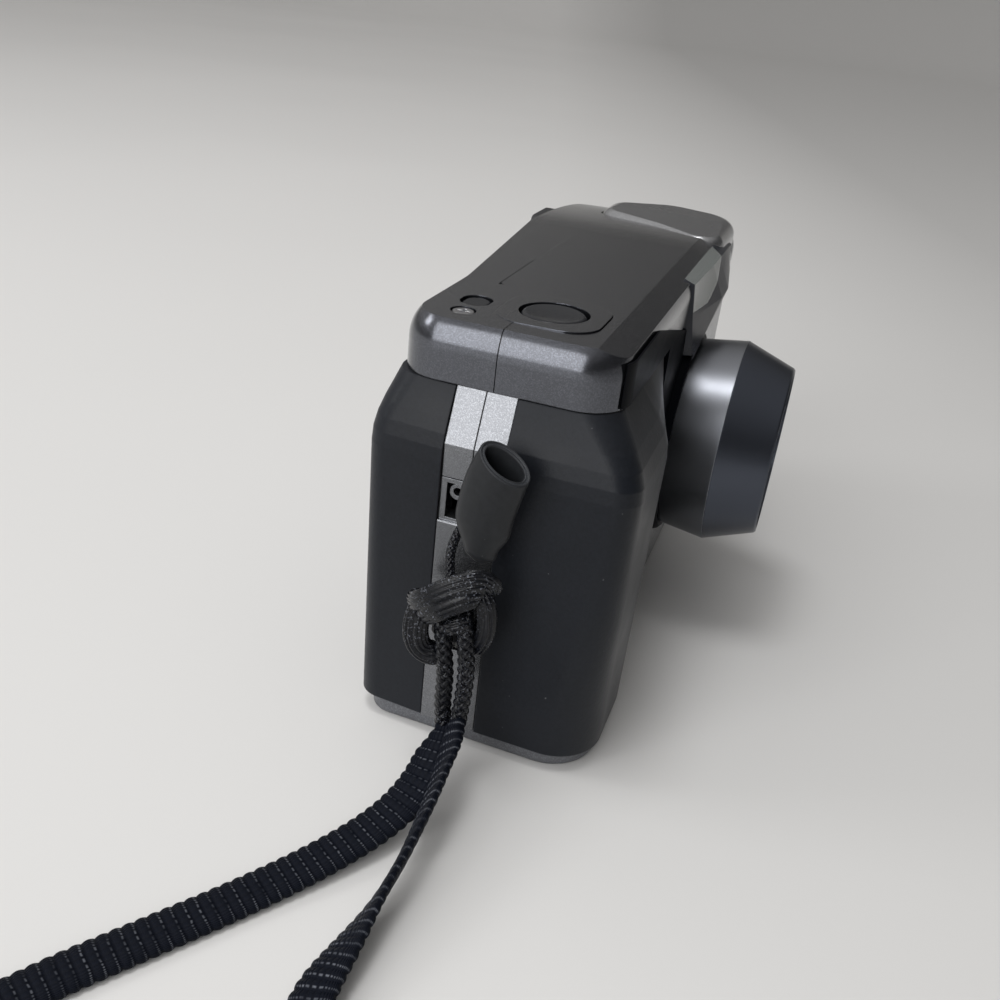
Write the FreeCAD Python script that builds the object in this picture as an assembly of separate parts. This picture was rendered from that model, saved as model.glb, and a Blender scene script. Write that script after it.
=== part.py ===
import FreeCAD
import Part
import math
import os

# Compact film camera, in millimetres.
# +Z is up. The front, with the lens, faces -Y. The grip end is at -X, the hinge end at +X.
# The origin is the middle of the tripod socket's mouth, on the flat under side.

Vector = FreeCAD.Vector
UP = (0, 0, 1)
DOWN = (0, 0, -1)
FRONT = (0, -1, 0)
REAR = (0, 1, 0)

# Film path, which sets the body's length
gate_width = 36.0
gate_height = 24.0
tunnel_wall = 1.5
frame_wall = 1.2
chamber_radius = 13.2
spool_bay_radius = 10.6
grip_room = 17.95
roller_room = 5.65
bay_gap = 2.5
hinge_room = 4.0
spool_side = grip_room + 2 * (spool_bay_radius + frame_wall) + roller_room
chamber_side = bay_gap + 2 * (chamber_radius + frame_wall) + hinge_room
body_length = spool_side + 2 * tunnel_wall + gate_width + chamber_side
grip_end = -body_length / 2
hinge_end = body_length / 2

# Overall sizes
base_height = 3.3
seam_height = 59.3
cover_height = 8.7
shoulder_height = 7.7
body_height = seam_height + cover_height
ridge_height = seam_height - shoulder_height
front_reach = 18.3
rear_reach = 19.4
grip_reach = 24.4
thumb_reach = 17.2

# Walls and clearances
shell_wall = 1.8
cover_wall = 1.6
part_gap = 0.15
slide_gap = 0.3
pin_gap = 0.06

# Rubber grips
grip_skin = 1.3
front_grip_length = 38.5
front_bulge_length = 20.5
rear_grip_length = 38.0
shoulder_inset = 4.1
foot_inset = 0.8
ridge_round = 3.2
strip_half = 4.5
strip_recess = 1.0
lower_strip_top = 39.4
lower_strip_raise = 0.5

# Top cover
cover_inset = 3.8
cover_far_inset = 2.0
cover_round = 6.5
cover_cut = 2.2
cover_corner = 6.8
thumb_cover_reach = 14.6
chamfer_start = 14.3
chamfer_slope = 0.386
cover_proud = 0.6
fall_start = hinge_end - 46.5
fall_radius = 276.0
cover_split = -1.0
cover_split_rear = 7.3
split_groove = 0.12
crease_start = grip_end + 27.0
crease_length = 18.0

# Release button panel and the small parts on the plate
button_x = grip_end + 17.4
button_y = -4.7
button_radius = 5.0
button_top = body_height + 0.1
button_travel = 1.2
stem_drop = 5.0
collar_half = 7.8
collar_depth = 1.4
collar_proud = 0.25
screw_x = grip_end + 10.5
screw_y = 6.9
screw_radius = 1.9
mode_x = grip_end + 16.2
mode_y = 7.0
mode_length = 5.0
mode_width = 4.0
mode_sunk = 0.2
screw_sunk = 0.12
rocker_x = grip_end + 19.0
rocker_low = seam_height + 1.7
rocker_high = seam_height + 5.7

# Lens
lens_x = grip_end + spool_side + tunnel_wall + gate_width / 2
lens_z = 34.8
housing_radius = 17.1
boss_radius = housing_radius + 3.5
boss_rise = 2.3
band_start_radius = housing_radius + 1.2
band_end_radius = housing_radius + 2.4
band_length = 8.7
bezel_length = 9.4
bezel_end_radius = housing_radius - 1.0
housing_wall = 0.7
cam_radius = housing_radius - 1.0
cam_wall = 0.8
barrel_radius = cam_radius - 1.1
barrel_wall = 1.1
inner_barrel_wall = 0.8
eye_radius = 5.6
blade_radius = 6.0
front_glass_radius = 8.0
rear_glass_radius = 6.5

# Black trim between the grip and the lens
trim_thickness = 0.25
trim_near = grip_end + 5.6
trim_low = base_height + 1.2

# Windows, prow and flash pod
prow_reach = 22.3
prow_foot = lens_z + 17.6
prow_ledge = seam_height + 1.0
window_foot = seam_height + 1.9
window_length = 36.0
flash_top = body_height + 0.3
flash_x = hinge_end - 19.0
flash_ramp = 21.0
flash_gap = 0.05
flash_half = 6.5
flash_low = seam_height + 1.1
flash_high = seam_height + 4.3
eyepiece_x = grip_end + 90.0
eyepiece_z = seam_height + 4.1
eyepiece_half = 3.7
eyepiece_proud = 1.2

# Film path, across and along the body
film_plane = 10.0
rail_height = 0.6
chamber_x = hinge_end - hinge_room - frame_wall - chamber_radius
chamber_y = -1.6
spool_x = grip_end + grip_room + frame_wall + spool_bay_radius
spool_y = 1.0
spool_radius = 6.5
roller_radius = 2.2
roller_axle = 0.6
roller_end = 2.0
fork_radius = 4.4
spool_shaft_radius = 2.0
frame_bottom = 8.4
frame_top = seam_height - 1.9

# Gears of the film drive
gear_module = 0.6
pinion_teeth = 8
idler_teeth = 18
spool_teeth = 20
gear_thickness = 2.4
gear_bottom = 4.0
motor_x = grip_end + 12.0
motor_y = 5.6
motor_radius = 5.4

# Door hinge and latch
knuckle_radius = 2.0
hinge_pin_radius = 0.8
knuckle_levels = [6.0, 14.0, 24.0, 32.0, 42.0, 50.0]
latch_travel = 3.0
latch_low = 19.0
latch_high = 28.0
latch_inner = grip_end + 4.35

# Battery
battery_radius = 8.5
battery_length = 34.5
battery_x = grip_end + 12.4
battery_y = -12.6
battery_hinge_x = grip_end + 24.6
battery_hinge_z = 1.4
battery_hinge_radius = 1.4

# Tripod socket, in the middle of the base
socket_radius = 3.2
socket_depth = 6.0
socket_outer_radius = 5.0

# Strap
cord_diameter = 1.4
strand_diameter = 2.6
webbing_width = 6.6
webbing_thickness = 1.6
knot_size = (7.6, 13.2, 19.0)
knot_centre = (grip_end - 5.8, -1.4, 27.4)
sleeve_foot = (grip_end - 4.6, -3.2, 37.4)
sleeve_mouth = (grip_end - 5.2, -6.6, 53.0)


def box(x0, x1, y0, y1, z0, z1):
    """A block between two corners."""
    return Part.makeBox(x1 - x0, y1 - y0, z1 - z0, Vector(x0, y0, z0))


def rod(radius, start, direction, length):
    """A round bar."""
    return Part.makeCylinder(radius, length, Vector(*start), Vector(*direction))


def ring(outer, inner, start, direction, length):
    """A tube between two radii."""
    return rod(outer, start, direction, length).cut(rod(inner, start, direction, length))


def corner_edges(corners, point_at):
    """Edges of a closed outline whose corners (a, b, radius) are rounded."""
    count = len(corners)
    starts = []
    ends = []
    arcs = []
    for i in range(count):
        here = Vector(corners[i][0], corners[i][1], 0)
        before = Vector(corners[i - 1][0], corners[i - 1][1], 0)
        after = Vector(corners[(i + 1) % count][0], corners[(i + 1) % count][1], 0)
        radius = corners[i][2]
        back = (before - here).normalize()
        forth = (after - here).normalize()
        if radius == 0:
            starts.append(here)
            ends.append(here)
            arcs.append(None)
            continue
        half = back.getAngle(forth) / 2
        reach = radius / math.tan(half)
        inward = (back + forth).normalize()
        middle = here + inward * (radius / math.sin(half) - radius)
        starts.append(here + back * reach)
        ends.append(here + forth * reach)
        arcs.append(middle)
    edges = []
    for i in range(count):
        if arcs[i] is not None:
            points = [point_at(p) for p in (starts[i], arcs[i], ends[i])]
            edges.append(Part.Arc(*points).toShape())
        edges.append(Part.LineSegment(point_at(ends[i]), point_at(starts[(i + 1) % count])).toShape())
    return edges


def plan_wire(corners, level):
    """A rounded outline seen from above, at a height."""
    return Part.Wire(corner_edges(corners, lambda p: Vector(p.x, p.y, level)))


def prism(corners, low, high):
    """A rounded outline raised between two heights."""
    return Part.Face(plan_wire(corners, low)).extrude(Vector(0, 0, high - low))


def inner_prism(corners, wall, low, high):
    """The space inside an outline, a wall's thickness in."""
    wire = plan_wire(corners, low).makeOffset2D(-wall)
    return Part.Face(wire).extrude(Vector(0, 0, high - low))


def side_prism(corners, x0, x1):
    """An outline of (y, z, radius) corners, run along X."""
    wire = Part.Wire(corner_edges(corners, lambda p: Vector(x0, p.x, p.y)))
    return Part.Face(wire).extrude(Vector(x1 - x0, 0, 0))


def front_prism(corners, y0, y1):
    """An outline of (x, z, radius) corners, run along Y."""
    wire = Part.Wire(corner_edges(corners, lambda p: Vector(p.x, y0, p.y)))
    return Part.Face(wire).extrude(Vector(0, y1 - y0, 0))


def straight_loft(levels):
    """Straight sided body through rounded outlines, given as (height, corners)."""
    wires = [plan_wire(corners, level) for level, corners in levels]
    return Part.makeLoft(wires, True, True)


def turned(profile, start, direction):
    """Body turned from (radius, along) corners about an axis."""
    points = [Vector(radius, 0, along) for radius, along in profile]
    face = Part.Face(Part.makePolygon(points + [points[0]]))
    body = face.revolve(Vector(0, 0, 0), Vector(0, 0, 1), 360)
    turn = FreeCAD.Rotation(Vector(0, 0, 1), Vector(*direction))
    body.Placement = FreeCAD.Placement(Vector(*start), turn)
    return body


def edges_at(shape, test):
    """The edges whose middle point passes a test."""
    found = []
    for edge in shape.Edges:
        middle = edge.valueAt((edge.FirstParameter + edge.LastParameter) / 2)
        if test(middle, edge):
            found.append(edge)
    return found


def softened(shape, radius, test):
    """The shape with a round on the edges that pass a test."""
    return shape.makeFillet(radius, edges_at(shape, test))


def one(shape):
    """The shape as a single tidy solid."""
    clean = shape.removeSplitter()
    return clean.Solids[0] if len(clean.Solids) == 1 else clean


def largest(shape):
    """The biggest solid of a cut shape."""
    return max(shape.Solids, key=lambda solid: solid.Volume)


# Outlines of the body, as (x, y, corner radius)

def shell_corners():
    """The shells below the ridge, under the rubber."""
    return [
        (grip_end + grip_skin, -(grip_reach - grip_skin), 8.0),
        (grip_end + front_bulge_length - 2, -(grip_reach - grip_skin), 10.0),
        (grip_end + front_grip_length - 1.5, -front_reach, 8.0),
        (hinge_end, -front_reach, 6.0),
        (hinge_end, rear_reach, 6.0),
        (grip_end + 72, rear_reach, 30.0),
        (grip_end + rear_grip_length + 4, thumb_reach - 1.2, 30.0),
        (grip_end + grip_skin + 1.2, thumb_reach - 1.2, 4.0),
    ]


def shell_seam_corners():
    """The shells at the top cover's seam."""
    return [
        (grip_end + shoulder_inset + grip_skin, -(front_reach - 1.0), 4.0),
        (grip_end + front_bulge_length - 2, -(front_reach - 1.0), 10.0),
        (grip_end + front_grip_length - 1.5, -front_reach, 8.0),
        (hinge_end - cover_far_inset, -front_reach, 6.0),
        (hinge_end - cover_far_inset, rear_reach, 6.0),
        (grip_end + 72, rear_reach, 30.0),
        (grip_end + rear_grip_length + 4, thumb_cover_reach - 0.8, 30.0),
        (grip_end + shoulder_inset + grip_skin + 0.6, thumb_cover_reach - 0.8, 4.0),
    ]


def cover_corners():
    """The top cover."""
    return [
        (grip_end + cover_inset, -front_reach - cover_proud, cover_corner),
        (hinge_end - cover_far_inset, -front_reach - cover_proud, 9.0),
        (hinge_end - cover_far_inset, rear_reach, 10.0),
        (grip_end + 76, rear_reach, 40.0),
        (grip_end + 28, thumb_cover_reach, 30.0),
        (grip_end + cover_inset + 0.4, thumb_cover_reach, cover_corner),
    ]


def base_corners():
    """The base plate, a little inside the grips."""
    return [
        (grip_end + 1.3, -(grip_reach - 1.7), 8.0),
        (grip_end + front_bulge_length, -(grip_reach - 1.7), 14.0),
        (grip_end + front_grip_length, -front_reach + 0.8, 8.0),
        (hinge_end - 1.2, -front_reach + 0.8, 6.0),
        (hinge_end - 1.2, rear_reach - 1.2, 6.0),
        (grip_end + 72, rear_reach - 1.2, 30.0),
        (grip_end + rear_grip_length + 4, thumb_reach - 2.2, 30.0),
        (grip_end + 2.2, thumb_reach - 2.2, 4.0),
    ]


def front_grip_corners(near, corner_y, corner_radius, front):
    """The front grip at one height."""
    back = -strip_half - part_gap
    return [
        (near, back, 0),
        (corner_y, -front, corner_radius),
        (grip_end + front_bulge_length, -front, 12.0),
        (grip_end + front_grip_length, -max(front_reach + 1.1 - (grip_reach - front) * 0.19, 0), 0),
        (grip_end + front_grip_length, -10, 0),
        (grip_end + 14, back, 0),
    ]


def rear_grip_corners(near, corner_radius, rear):
    """The rear grip at one height."""
    back = strip_half + part_gap
    return [
        (near, back, 0),
        (grip_end + 14, back, 0),
        (grip_end + rear_grip_length, 8, 0),
        (grip_end + rear_grip_length, rear, 0),
        (near + 1.0, rear, corner_radius),
    ]


# Shells

def shell_block(low=base_height + part_gap):
    """The outside of both shells, without the strip."""
    high = seam_height - part_gap
    body = prism(shell_corners(), low, ridge_height)
    shoulder = straight_loft([(ridge_height, shell_corners()), (high, shell_seam_corners())])
    return body.fuse(shoulder)


def strip_block():
    """The metallic strip between the grips, with its sloped head and proud foot."""
    near = grip_end + strip_recess
    foot = near - lower_strip_raise
    high = seam_height - part_gap
    low = base_height + part_gap
    corners = [
        (foot, low, 0),
        (foot, lower_strip_top, 0),
        (near, lower_strip_top, 0),
        (near, ridge_height - 0.2, 0),
        (grip_end + shoulder_inset + 0.2, high, 0),
        (grip_end + shoulder_inset + 2.4, high, 0),
        (grip_end + grip_skin + 1.7, ridge_height - 0.6, 0),
        (grip_end + grip_skin + 1.7, low, 0),
    ]
    strip = front_prism(corners, -strip_half, strip_half)
    return softened(strip, 0.3, lambda p, e: abs(p.z - lower_strip_top) < 0.1 and p.x < foot + 0.1)


def shell_space():
    """The room inside both shells."""
    low = base_height - 1
    body = inner_prism(shell_corners(), shell_wall, low, ridge_height - 0.4)
    neck = inner_prism(shell_seam_corners(), shell_wall, low, seam_height + 1)
    return body.fuse(neck)


def lug_recess():
    """The pocket in the strip that the cord passes through."""
    return box(grip_end - 1, grip_end + 6.5, -3.4, 3.6, 39.9, 45.5)


def door_region(gap):
    """The space that belongs to the door: all behind the parting plane but the strip's foot."""
    behind = box(grip_end - 5, hinge_end + 5, gap, rear_reach + 5, 0, seam_height + 1)
    foot = box(grip_end - 5, grip_end + 7, -1, strip_half + 0.2 + gap, 0, 46.2 + gap)
    return behind.cut(foot)


def knuckle_spans(first):
    """The heights of the hinge knuckles, door or shell in turn."""
    spans = [(knuckle_levels[i], knuckle_levels[i + 1]) for i in range(len(knuckle_levels) - 1)]
    return spans[first::2]


def knuckles(first):
    """Hinge barrels on the parting line at the hinge end."""
    parts = []
    for low, high in knuckle_spans(first):
        axis = (hinge_end, 0, low + part_gap)
        parts.append(rod(knuckle_radius, axis, UP, high - low - 2 * part_gap))
    return parts


def knuckle_room(first):
    """The room that one side leaves for the other side's barrels."""
    room = []
    for low, high in knuckle_spans(first):
        room.append(rod(knuckle_radius + slide_gap, (hinge_end, 0, low), UP, high - low))
    return room


def hinge_bore():
    """The hole for the hinge pin."""
    return rod(hinge_pin_radius + pin_gap, (hinge_end, 0, 0), UP, seam_height)


def front_cover():
    """The fixed lower shell: front wall, both ends to the parting plane, and the strip's foot."""
    shell = shell_block().cut(shell_space()).fuse(strip_block())
    cover = shell.cut(door_region(0))
    cover = cover.cut(rod(housing_radius + 0.5, (lens_x, 0, lens_z), FRONT, front_reach + 5))
    cover = cover.cut(lug_recess())
    cover = cover.cut(latch_slot())
    for part in knuckle_room(1):
        cover = cover.cut(part)
    for part in knuckles(0):
        cover = cover.fuse(part)
    return largest(one(cover.cut(hinge_bore())))


def back_door():
    """The door: rear wall and the rear halves of both ends."""
    shell = shell_block().cut(shell_space()).fuse(strip_block())
    door = shell.common(door_region(part_gap))
    door = door.cut(lug_recess())
    for part in knuckle_room(0):
        door = door.cut(part)
    for part in knuckles(1):
        door = door.fuse(part)
    keeper = box(grip_end + 3.4, latch_inner + 1.2, 4.9, 6.1, latch_high + 2.2, latch_high + 6)
    door = door.fuse(keeper)
    window = front_prism(film_window_corners(0.1), 10, rear_reach + 2)
    return largest(one(door.cut(hinge_bore()).cut(window)))


def film_window_corners(gap):
    """The slim window over the film cassette."""
    half = 3.0 + gap
    low = 20.0 - gap
    high = 44.0 + gap
    x = chamber_x
    radius = half - 0.2
    near = x - half
    far = x + half
    return [(near, low, radius), (far, low, radius), (far, high, radius), (near, high, radius)]


def film_window():
    """Dark clear pane in the door."""
    return front_prism(film_window_corners(0), rear_reach - shell_wall, rear_reach - 0.2)


def hinge_pin():
    """The door's pin."""
    low = knuckle_levels[0] + part_gap
    high = knuckle_levels[-1] - part_gap
    return rod(hinge_pin_radius, (hinge_end, 0, low), UP, high - low)


def base_plate():
    """The bottom trim, with the battery door's opening and the tripod socket's hole."""
    plate = prism(base_corners(), 0, base_height)
    plate = softened(plate, 0.9, lambda p, e: p.z < 0.01)
    plate = plate.cut(rod(socket_outer_radius, (0, 0, -1), UP, base_height + 2))
    opening = battery_door_plan(part_gap + 0.05)
    plate = plate.cut(prism(opening, -1, base_height + 1))
    barrel_gap = battery_hinge_radius + slide_gap
    low_y = battery_y - 7.0 - part_gap
    high_y = battery_y + 7.0 + part_gap
    hinge_far = battery_hinge_x + barrel_gap
    plate = plate.cut(box(battery_hinge_x - 1, hinge_far, low_y, high_y, -1, base_height + 1))
    pin = rod(0.6 + pin_gap, (battery_hinge_x, battery_y - 9.0, battery_hinge_z), REAR, 18.0)
    plate = plate.cut(pin)
    for x, y in base_screw_places():
        plate = plate.cut(rod(1.7, (x, y, -1), UP, 2.2))
        plate = plate.cut(rod(0.9, (x, y, -1), UP, base_height + 2))
    return one(plate)


def battery_door_plan(gap):
    """The battery door seen from below."""
    left = grip_end + 3.6 - gap
    right = battery_hinge_x
    low = battery_y - 8.2 - gap
    high = battery_y + 9.0 + gap
    return [(left, low, 3.5), (right, low, 0), (right, high, 0), (left, high, 3.5)]


def battery_door():
    """The hinged lid under the battery."""
    left, right = grip_end + 3.6, battery_hinge_x
    plate = prism(battery_door_plan(0), 0, base_height - 0.3)
    relief = right - battery_hinge_radius - part_gap
    plate = plate.cut(box(relief, right + 1, battery_y - 20, battery_y + 20, -1, 5))
    left = right - battery_hinge_radius - 0.5
    web = box(left, right, battery_y - 7, battery_y + 7, 0, battery_hinge_z + 0.6)
    barrel = rod(battery_hinge_radius, (right, battery_y - 7, battery_hinge_z), REAR, 14)
    pin = rod(0.6, (right, battery_y - 8.6, battery_hinge_z), REAR, 17.2)
    nail_groove = rod(1.0, (left + 3.0, battery_y - 3, -0.55), REAR, 6)
    return one(plate.fuse(web).fuse(barrel).fuse(pin).cut(nail_groove))


def base_screw_places():
    """The four screws under the base."""
    return [
        (grip_end + 34, -14.0),
        (hinge_end - 7, -12.0),
        (hinge_end - 7, 12.0),
        (grip_end + 34, 10.0),
    ]


def screw(x, y, z, direction):
    """A small cross-head screw whose head's face is at z."""
    sense = direction[2]
    head = rod(1.55, (x, y, z - sense * 1.0), direction, 1.0)
    shank = rod(0.8, (x, y, z - sense * 4.6), direction, 4.0)
    slots = box(x - 1.0, x + 1.0, y - 0.2, y + 0.2, z - 0.5, z + 0.5)
    slots = slots.fuse(box(x - 0.2, x + 0.2, y - 1.0, y + 1.0, z - 0.5, z + 0.5))
    return head.fuse(shank).cut(slots)


def case_screws():
    """The screw on the plate and those under the base."""
    parts = [screw(screw_x, screw_y, body_height - screw_sunk, UP)]
    for x, y in base_screw_places():
        parts.append(screw(x, y, 0.2, DOWN))
    return Part.makeCompound(parts)


# Top cover

def top_fall(x):
    """How far the cover's top has dropped at a place along the body."""
    past = max(x - fall_start, 0)
    return fall_radius - math.sqrt(fall_radius ** 2 - past ** 2)


def sky_face(y, lift):
    """The region above the cover's top line: level, then falling away to the hinge end."""
    level = body_height + lift
    near = grip_end - 5
    far = hinge_end + 5
    roof = body_height + 10
    middle = (fall_start + far) / 2
    start = Vector(fall_start, y, level)
    end = Vector(far, y, level - top_fall(far))
    arc = Part.Arc(start, Vector(middle, y, level - top_fall(middle)), end)
    corners = [end, Vector(far, y, roof), Vector(near, y, roof), Vector(near, y, level), start]
    lines = [Part.LineSegment(corners[i], corners[i + 1]).toShape() for i in range(4)]
    return Part.Face(Part.Wire([arc.toShape()] + lines))


def sky(lift):
    """All that lies above the cover's top and its sloped front edge, raised by a lift."""
    flat = sky_face(-chamfer_start, lift).extrude(Vector(0, 60, 0))
    slope = sky_face(-chamfer_start, lift).extrude(Vector(0, -14, -14 * chamfer_slope))
    return flat.fuse(slope)


def cover_block():
    """The outside of the top cover, before it is parted."""
    high = body_height + cover_cut
    block = prism(cover_corners(), seam_height, high + 1)
    block = block.cut(sky_face(-40, cover_cut).extrude(Vector(0, 80, 0)))
    block = softened(block, cover_round, on_high_edge)
    return block.cut(sky(0))


def on_high_edge(place, edge):
    """Whether an edge runs round the top of the uncut cover."""
    high = body_height + cover_cut - top_fall(place.x)
    return abs(place.z - high) < 0.02 and abs(place.x - fall_start) > 0.01


def cover_room():
    """The room inside the top cover, under its top and its sloped edge."""
    shoulder = body_height - cover_wall - 1.0
    wide = inner_prism(cover_corners(), cover_wall, seam_height - 1, body_height)
    narrow = inner_prism(cover_corners(), cover_wall + 3.0, shoulder - 1.0, body_height)
    return wide.cut(sky(shoulder - body_height)).fuse(narrow.cut(sky(-cover_wall)))


def cover_shell():
    """The top cover's walls and top, with all its openings."""
    shell = cover_block().cut(cover_room())
    shell = shell.cut(prism(collar_plan(part_gap), body_height - collar_depth, body_height + 1))
    shell = shell.cut(rod(button_radius + 0.4, (button_x, button_y, seam_height), UP, 12))
    shell = shell.cut(prism(mode_plan(slide_gap), seam_height, body_height + 1))
    shell = shell.cut(rod(screw_radius, (screw_x, screw_y, body_height - 1.5), UP, 3))
    shell = shell.cut(rod(1.0, (screw_x, screw_y, seam_height), UP, 10))
    shell = shell.cut(eyepiece_block(part_gap))
    shell = shell.cut(flash_pocket())
    shell = shell.cut(prow_room())
    shell = shell.cut(flash_window_block(0.1))
    shell = shell.cut(lcd_block(0.1))
    return shell.cut(rocker_room())


def cover_front_region():
    """The plan region of the front moulding."""
    return [
        (grip_end - 5, -30, 0),
        (hinge_end + 5, -30, 0),
        (hinge_end + 5, cover_split_rear, 0),
        (grip_end + 28, cover_split_rear, 0),
        (grip_end + 18, cover_split, 0),
        (grip_end - 5, cover_split, 0),
    ]


def top_cover_front():
    """The front moulding of the top cover."""
    region = prism(cover_front_region(), seam_height - 5, body_height + 5)
    return largest(one(cover_shell().common(region)))


def top_cover_rear():
    """The rear moulding, with the thin part line at the grip end."""
    region = prism(cover_front_region(), seam_height - 5, body_height + 5)
    line = box(grip_end - 5, grip_end + 12, cover_split - 1, cover_split + split_groove, 0, body_height + 5)
    groove_end = crease_start + crease_length
    groove_side = cover_split_rear + split_groove
    low = body_height - 0.3
    crease = box(crease_start, groove_end, cover_split_rear - 1, groove_side, low, body_height + 5)
    return largest(one(cover_shell().cut(region).cut(line).cut(crease)))


def collar_plan(gap):
    """The rounded panel round the release button, with its gap on the two sides away from the corner."""
    near = button_x - collar_half
    far = button_x + collar_half + gap
    front = button_y - collar_half - gap
    rear = button_y + collar_half
    return [(near, front, 5.0), (far, front, 5.0), (far, rear, 5.0), (near, rear, 5.0)]


def shutter_collar():
    """The panel round the release button, flush at the rear and proud at the front."""
    panel = prism(collar_plan(0), body_height - collar_depth, body_height + 2)
    above = side_prism([
        (button_y + collar_half + 1, body_height, 0),
        (button_y + collar_half + 1, body_height + 3, 0),
        (button_y - collar_half - 1, body_height + 3, 0),
        (button_y - collar_half - 1, body_height + collar_proud, 0),
    ], button_x - collar_half - 1, button_x + collar_half + 1)
    panel = panel.cut(above)
    return one(panel.cut(rod(button_radius + slide_gap, (button_x, button_y, 0), UP, 80)))


def shutter_button():
    """The release button, with a dished head and a stem."""
    head_height = 2.6
    dish_radius = 40.0
    dish_depth = 0.25
    head = rod(button_radius, (button_x, button_y, button_top - head_height), UP, head_height)
    head = softened(head, 0.9, lambda p, e: abs(p.z - button_top) < 0.01)
    dish = Part.makeSphere(dish_radius, Vector(button_x, button_y, button_top + dish_radius - dish_depth))
    stem = rod(1.5, (button_x, button_y, button_top - stem_drop), UP, stem_drop - head_height + 0.5)
    return one(head.cut(dish).fuse(stem))


def mode_plan(gap):
    """The small oval button's outline."""
    half_x = mode_length / 2 + gap
    half_y = mode_width / 2 + gap
    radius = half_y - 0.1
    return [
        (mode_x - half_x, mode_y - half_y, radius),
        (mode_x + half_x, mode_y - half_y, radius),
        (mode_x + half_x, mode_y + half_y, radius),
        (mode_x - half_x, mode_y + half_y, radius),
    ]


def mode_button():
    """The small recessed button beside the screw."""
    top = body_height - mode_sunk
    cap = prism(mode_plan(0), top - 2.0, top)
    cap = softened(cap, 0.4, lambda p, e: abs(p.z - top) < 0.01)
    return one(cap.fuse(rod(0.9, (mode_x, mode_y, top - 3.8), UP, 2.0)))


def eyepiece_block(gap):
    """The eyepiece frame's outside."""
    half_x = 5.5 + gap
    half_z = eyepiece_half + gap
    corners = [
        (eyepiece_x - half_x, eyepiece_z - half_z, 1.5),
        (eyepiece_x + half_x, eyepiece_z - half_z, 1.5),
        (eyepiece_x + half_x, eyepiece_z + half_z, 1.5),
        (eyepiece_x - half_x, eyepiece_z + half_z, 1.5),
    ]
    return front_prism(corners, rear_reach - 3.0, rear_reach + eyepiece_proud)


def eyepiece_frame():
    """The soft frame round the viewfinder eyepiece."""
    frame = eyepiece_block(0)
    frame = softened(frame, 0.6, lambda p, e: p.y > rear_reach + eyepiece_proud - 0.05)
    low = eyepiece_z - 2.3
    high = eyepiece_z + 2.3
    hole = box(eyepiece_x - 4.2, eyepiece_x + 4.2, rear_reach - 5, rear_reach + 3, low, high)
    return one(frame.cut(hole))


def eyepiece_lens():
    """The clear eyepiece."""
    return box(eyepiece_x - 4.1, eyepiece_x + 4.1, rear_reach - 2.6, rear_reach + 0.6,
               eyepiece_z - 2.2, eyepiece_z + 2.2)


def viewfinder_block():
    """The viewfinder's optics from the front window to the eyepiece."""
    low = seam_height + 0.3
    high = seam_height + 5.2
    wall = 0.9
    seat = 0.05
    body = box(eyepiece_x - 5.0, eyepiece_x + 5.0, -12.0, rear_reach - 3.2, low, high)
    tunnel = box(eyepiece_x - 3.6, eyepiece_x + 3.6, -13.0, rear_reach, low + wall, high - wall)
    front = box(eyepiece_x - 3.5, eyepiece_x + 3.5, -11.0, -8.0, low + wall + seat, high - wall - seat)
    middle = box(eyepiece_x - 3.5, eyepiece_x + 3.5, 2.0, 5.0, low + wall + seat, high - wall - seat)
    return Part.makeCompound([body.cut(tunnel), front, middle])


def prow_outlines(gap):
    """The prow at three heights: its tip by the lens, its ledge, and flush under the cover's sloped edge."""
    back = -front_reach + 1.2
    wall = -front_reach - cover_proud - gap
    ledge = -prow_reach - gap
    tip = [
        (lens_x - 10.1 - gap, back, 0), (lens_x - 9.5 - gap, -prow_reach + 1.5 - gap, 0),
        (lens_x - 8.9, -prow_reach + 1.4 - gap, 0), (lens_x - 8.6, -prow_reach + 1.5 - gap, 0),
        (lens_x - 8.3 + gap, wall - 0.4, 0), (lens_x - 8.1 + gap, back, 0),
    ]
    middle = [
        (lens_x - 13.0 - gap, back, 0), (lens_x - 10.7 - gap, wall - 0.8, 0),
        (lens_x + 6.8, ledge, 0), (lens_x + 15.0, ledge, 0),
        (lens_x + 33.5 + gap, wall - 1.1, 0), (lens_x + 38.0 + gap, back, 0),
    ]
    top = [
        (lens_x - 12.4 - gap, back, 0), (lens_x - 11.2 - gap, wall, 0),
        (lens_x + 6.8, wall, 0), (lens_x + 15.0, wall, 0),
        (lens_x + 34.0 + gap, wall, 0), (lens_x + 37.0 + gap, back, 0),
    ]
    return tip, middle, top


def prow_body(gap):
    """The prow: the windows lean out down to the ledge, and a keel runs on to the tip."""
    tip, middle, top = prow_outlines(gap)
    windows = straight_loft([(prow_ledge, middle), (body_height - 0.6, top)])
    keel = straight_loft([(prow_foot - gap, tip), (prow_ledge, middle)])
    return windows.fuse(keel).cut(sky(0))


def prow_room():
    """The room in the top cover for the prow."""
    return prow_body(part_gap).fuse(prow_body(0))


def window_housing():
    """The dark prow that carries the front windows."""
    boss = rod(boss_radius + part_gap, (lens_x, -front_reach + 2, lens_z), FRONT, boss_rise + 2 + part_gap)
    prow = prow_body(0).cut(boss).cut(front_cover_front()).cut(flash_window_block(0.1))
    return largest(one(prow.cut(window_pane(0.05))))


def front_cover_front():
    """The part of the front cover's wall behind the prow's foot."""
    return box(lens_x - 30, lens_x + 60, -front_reach, 0, lens_z, seam_height - part_gap / 2)


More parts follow.
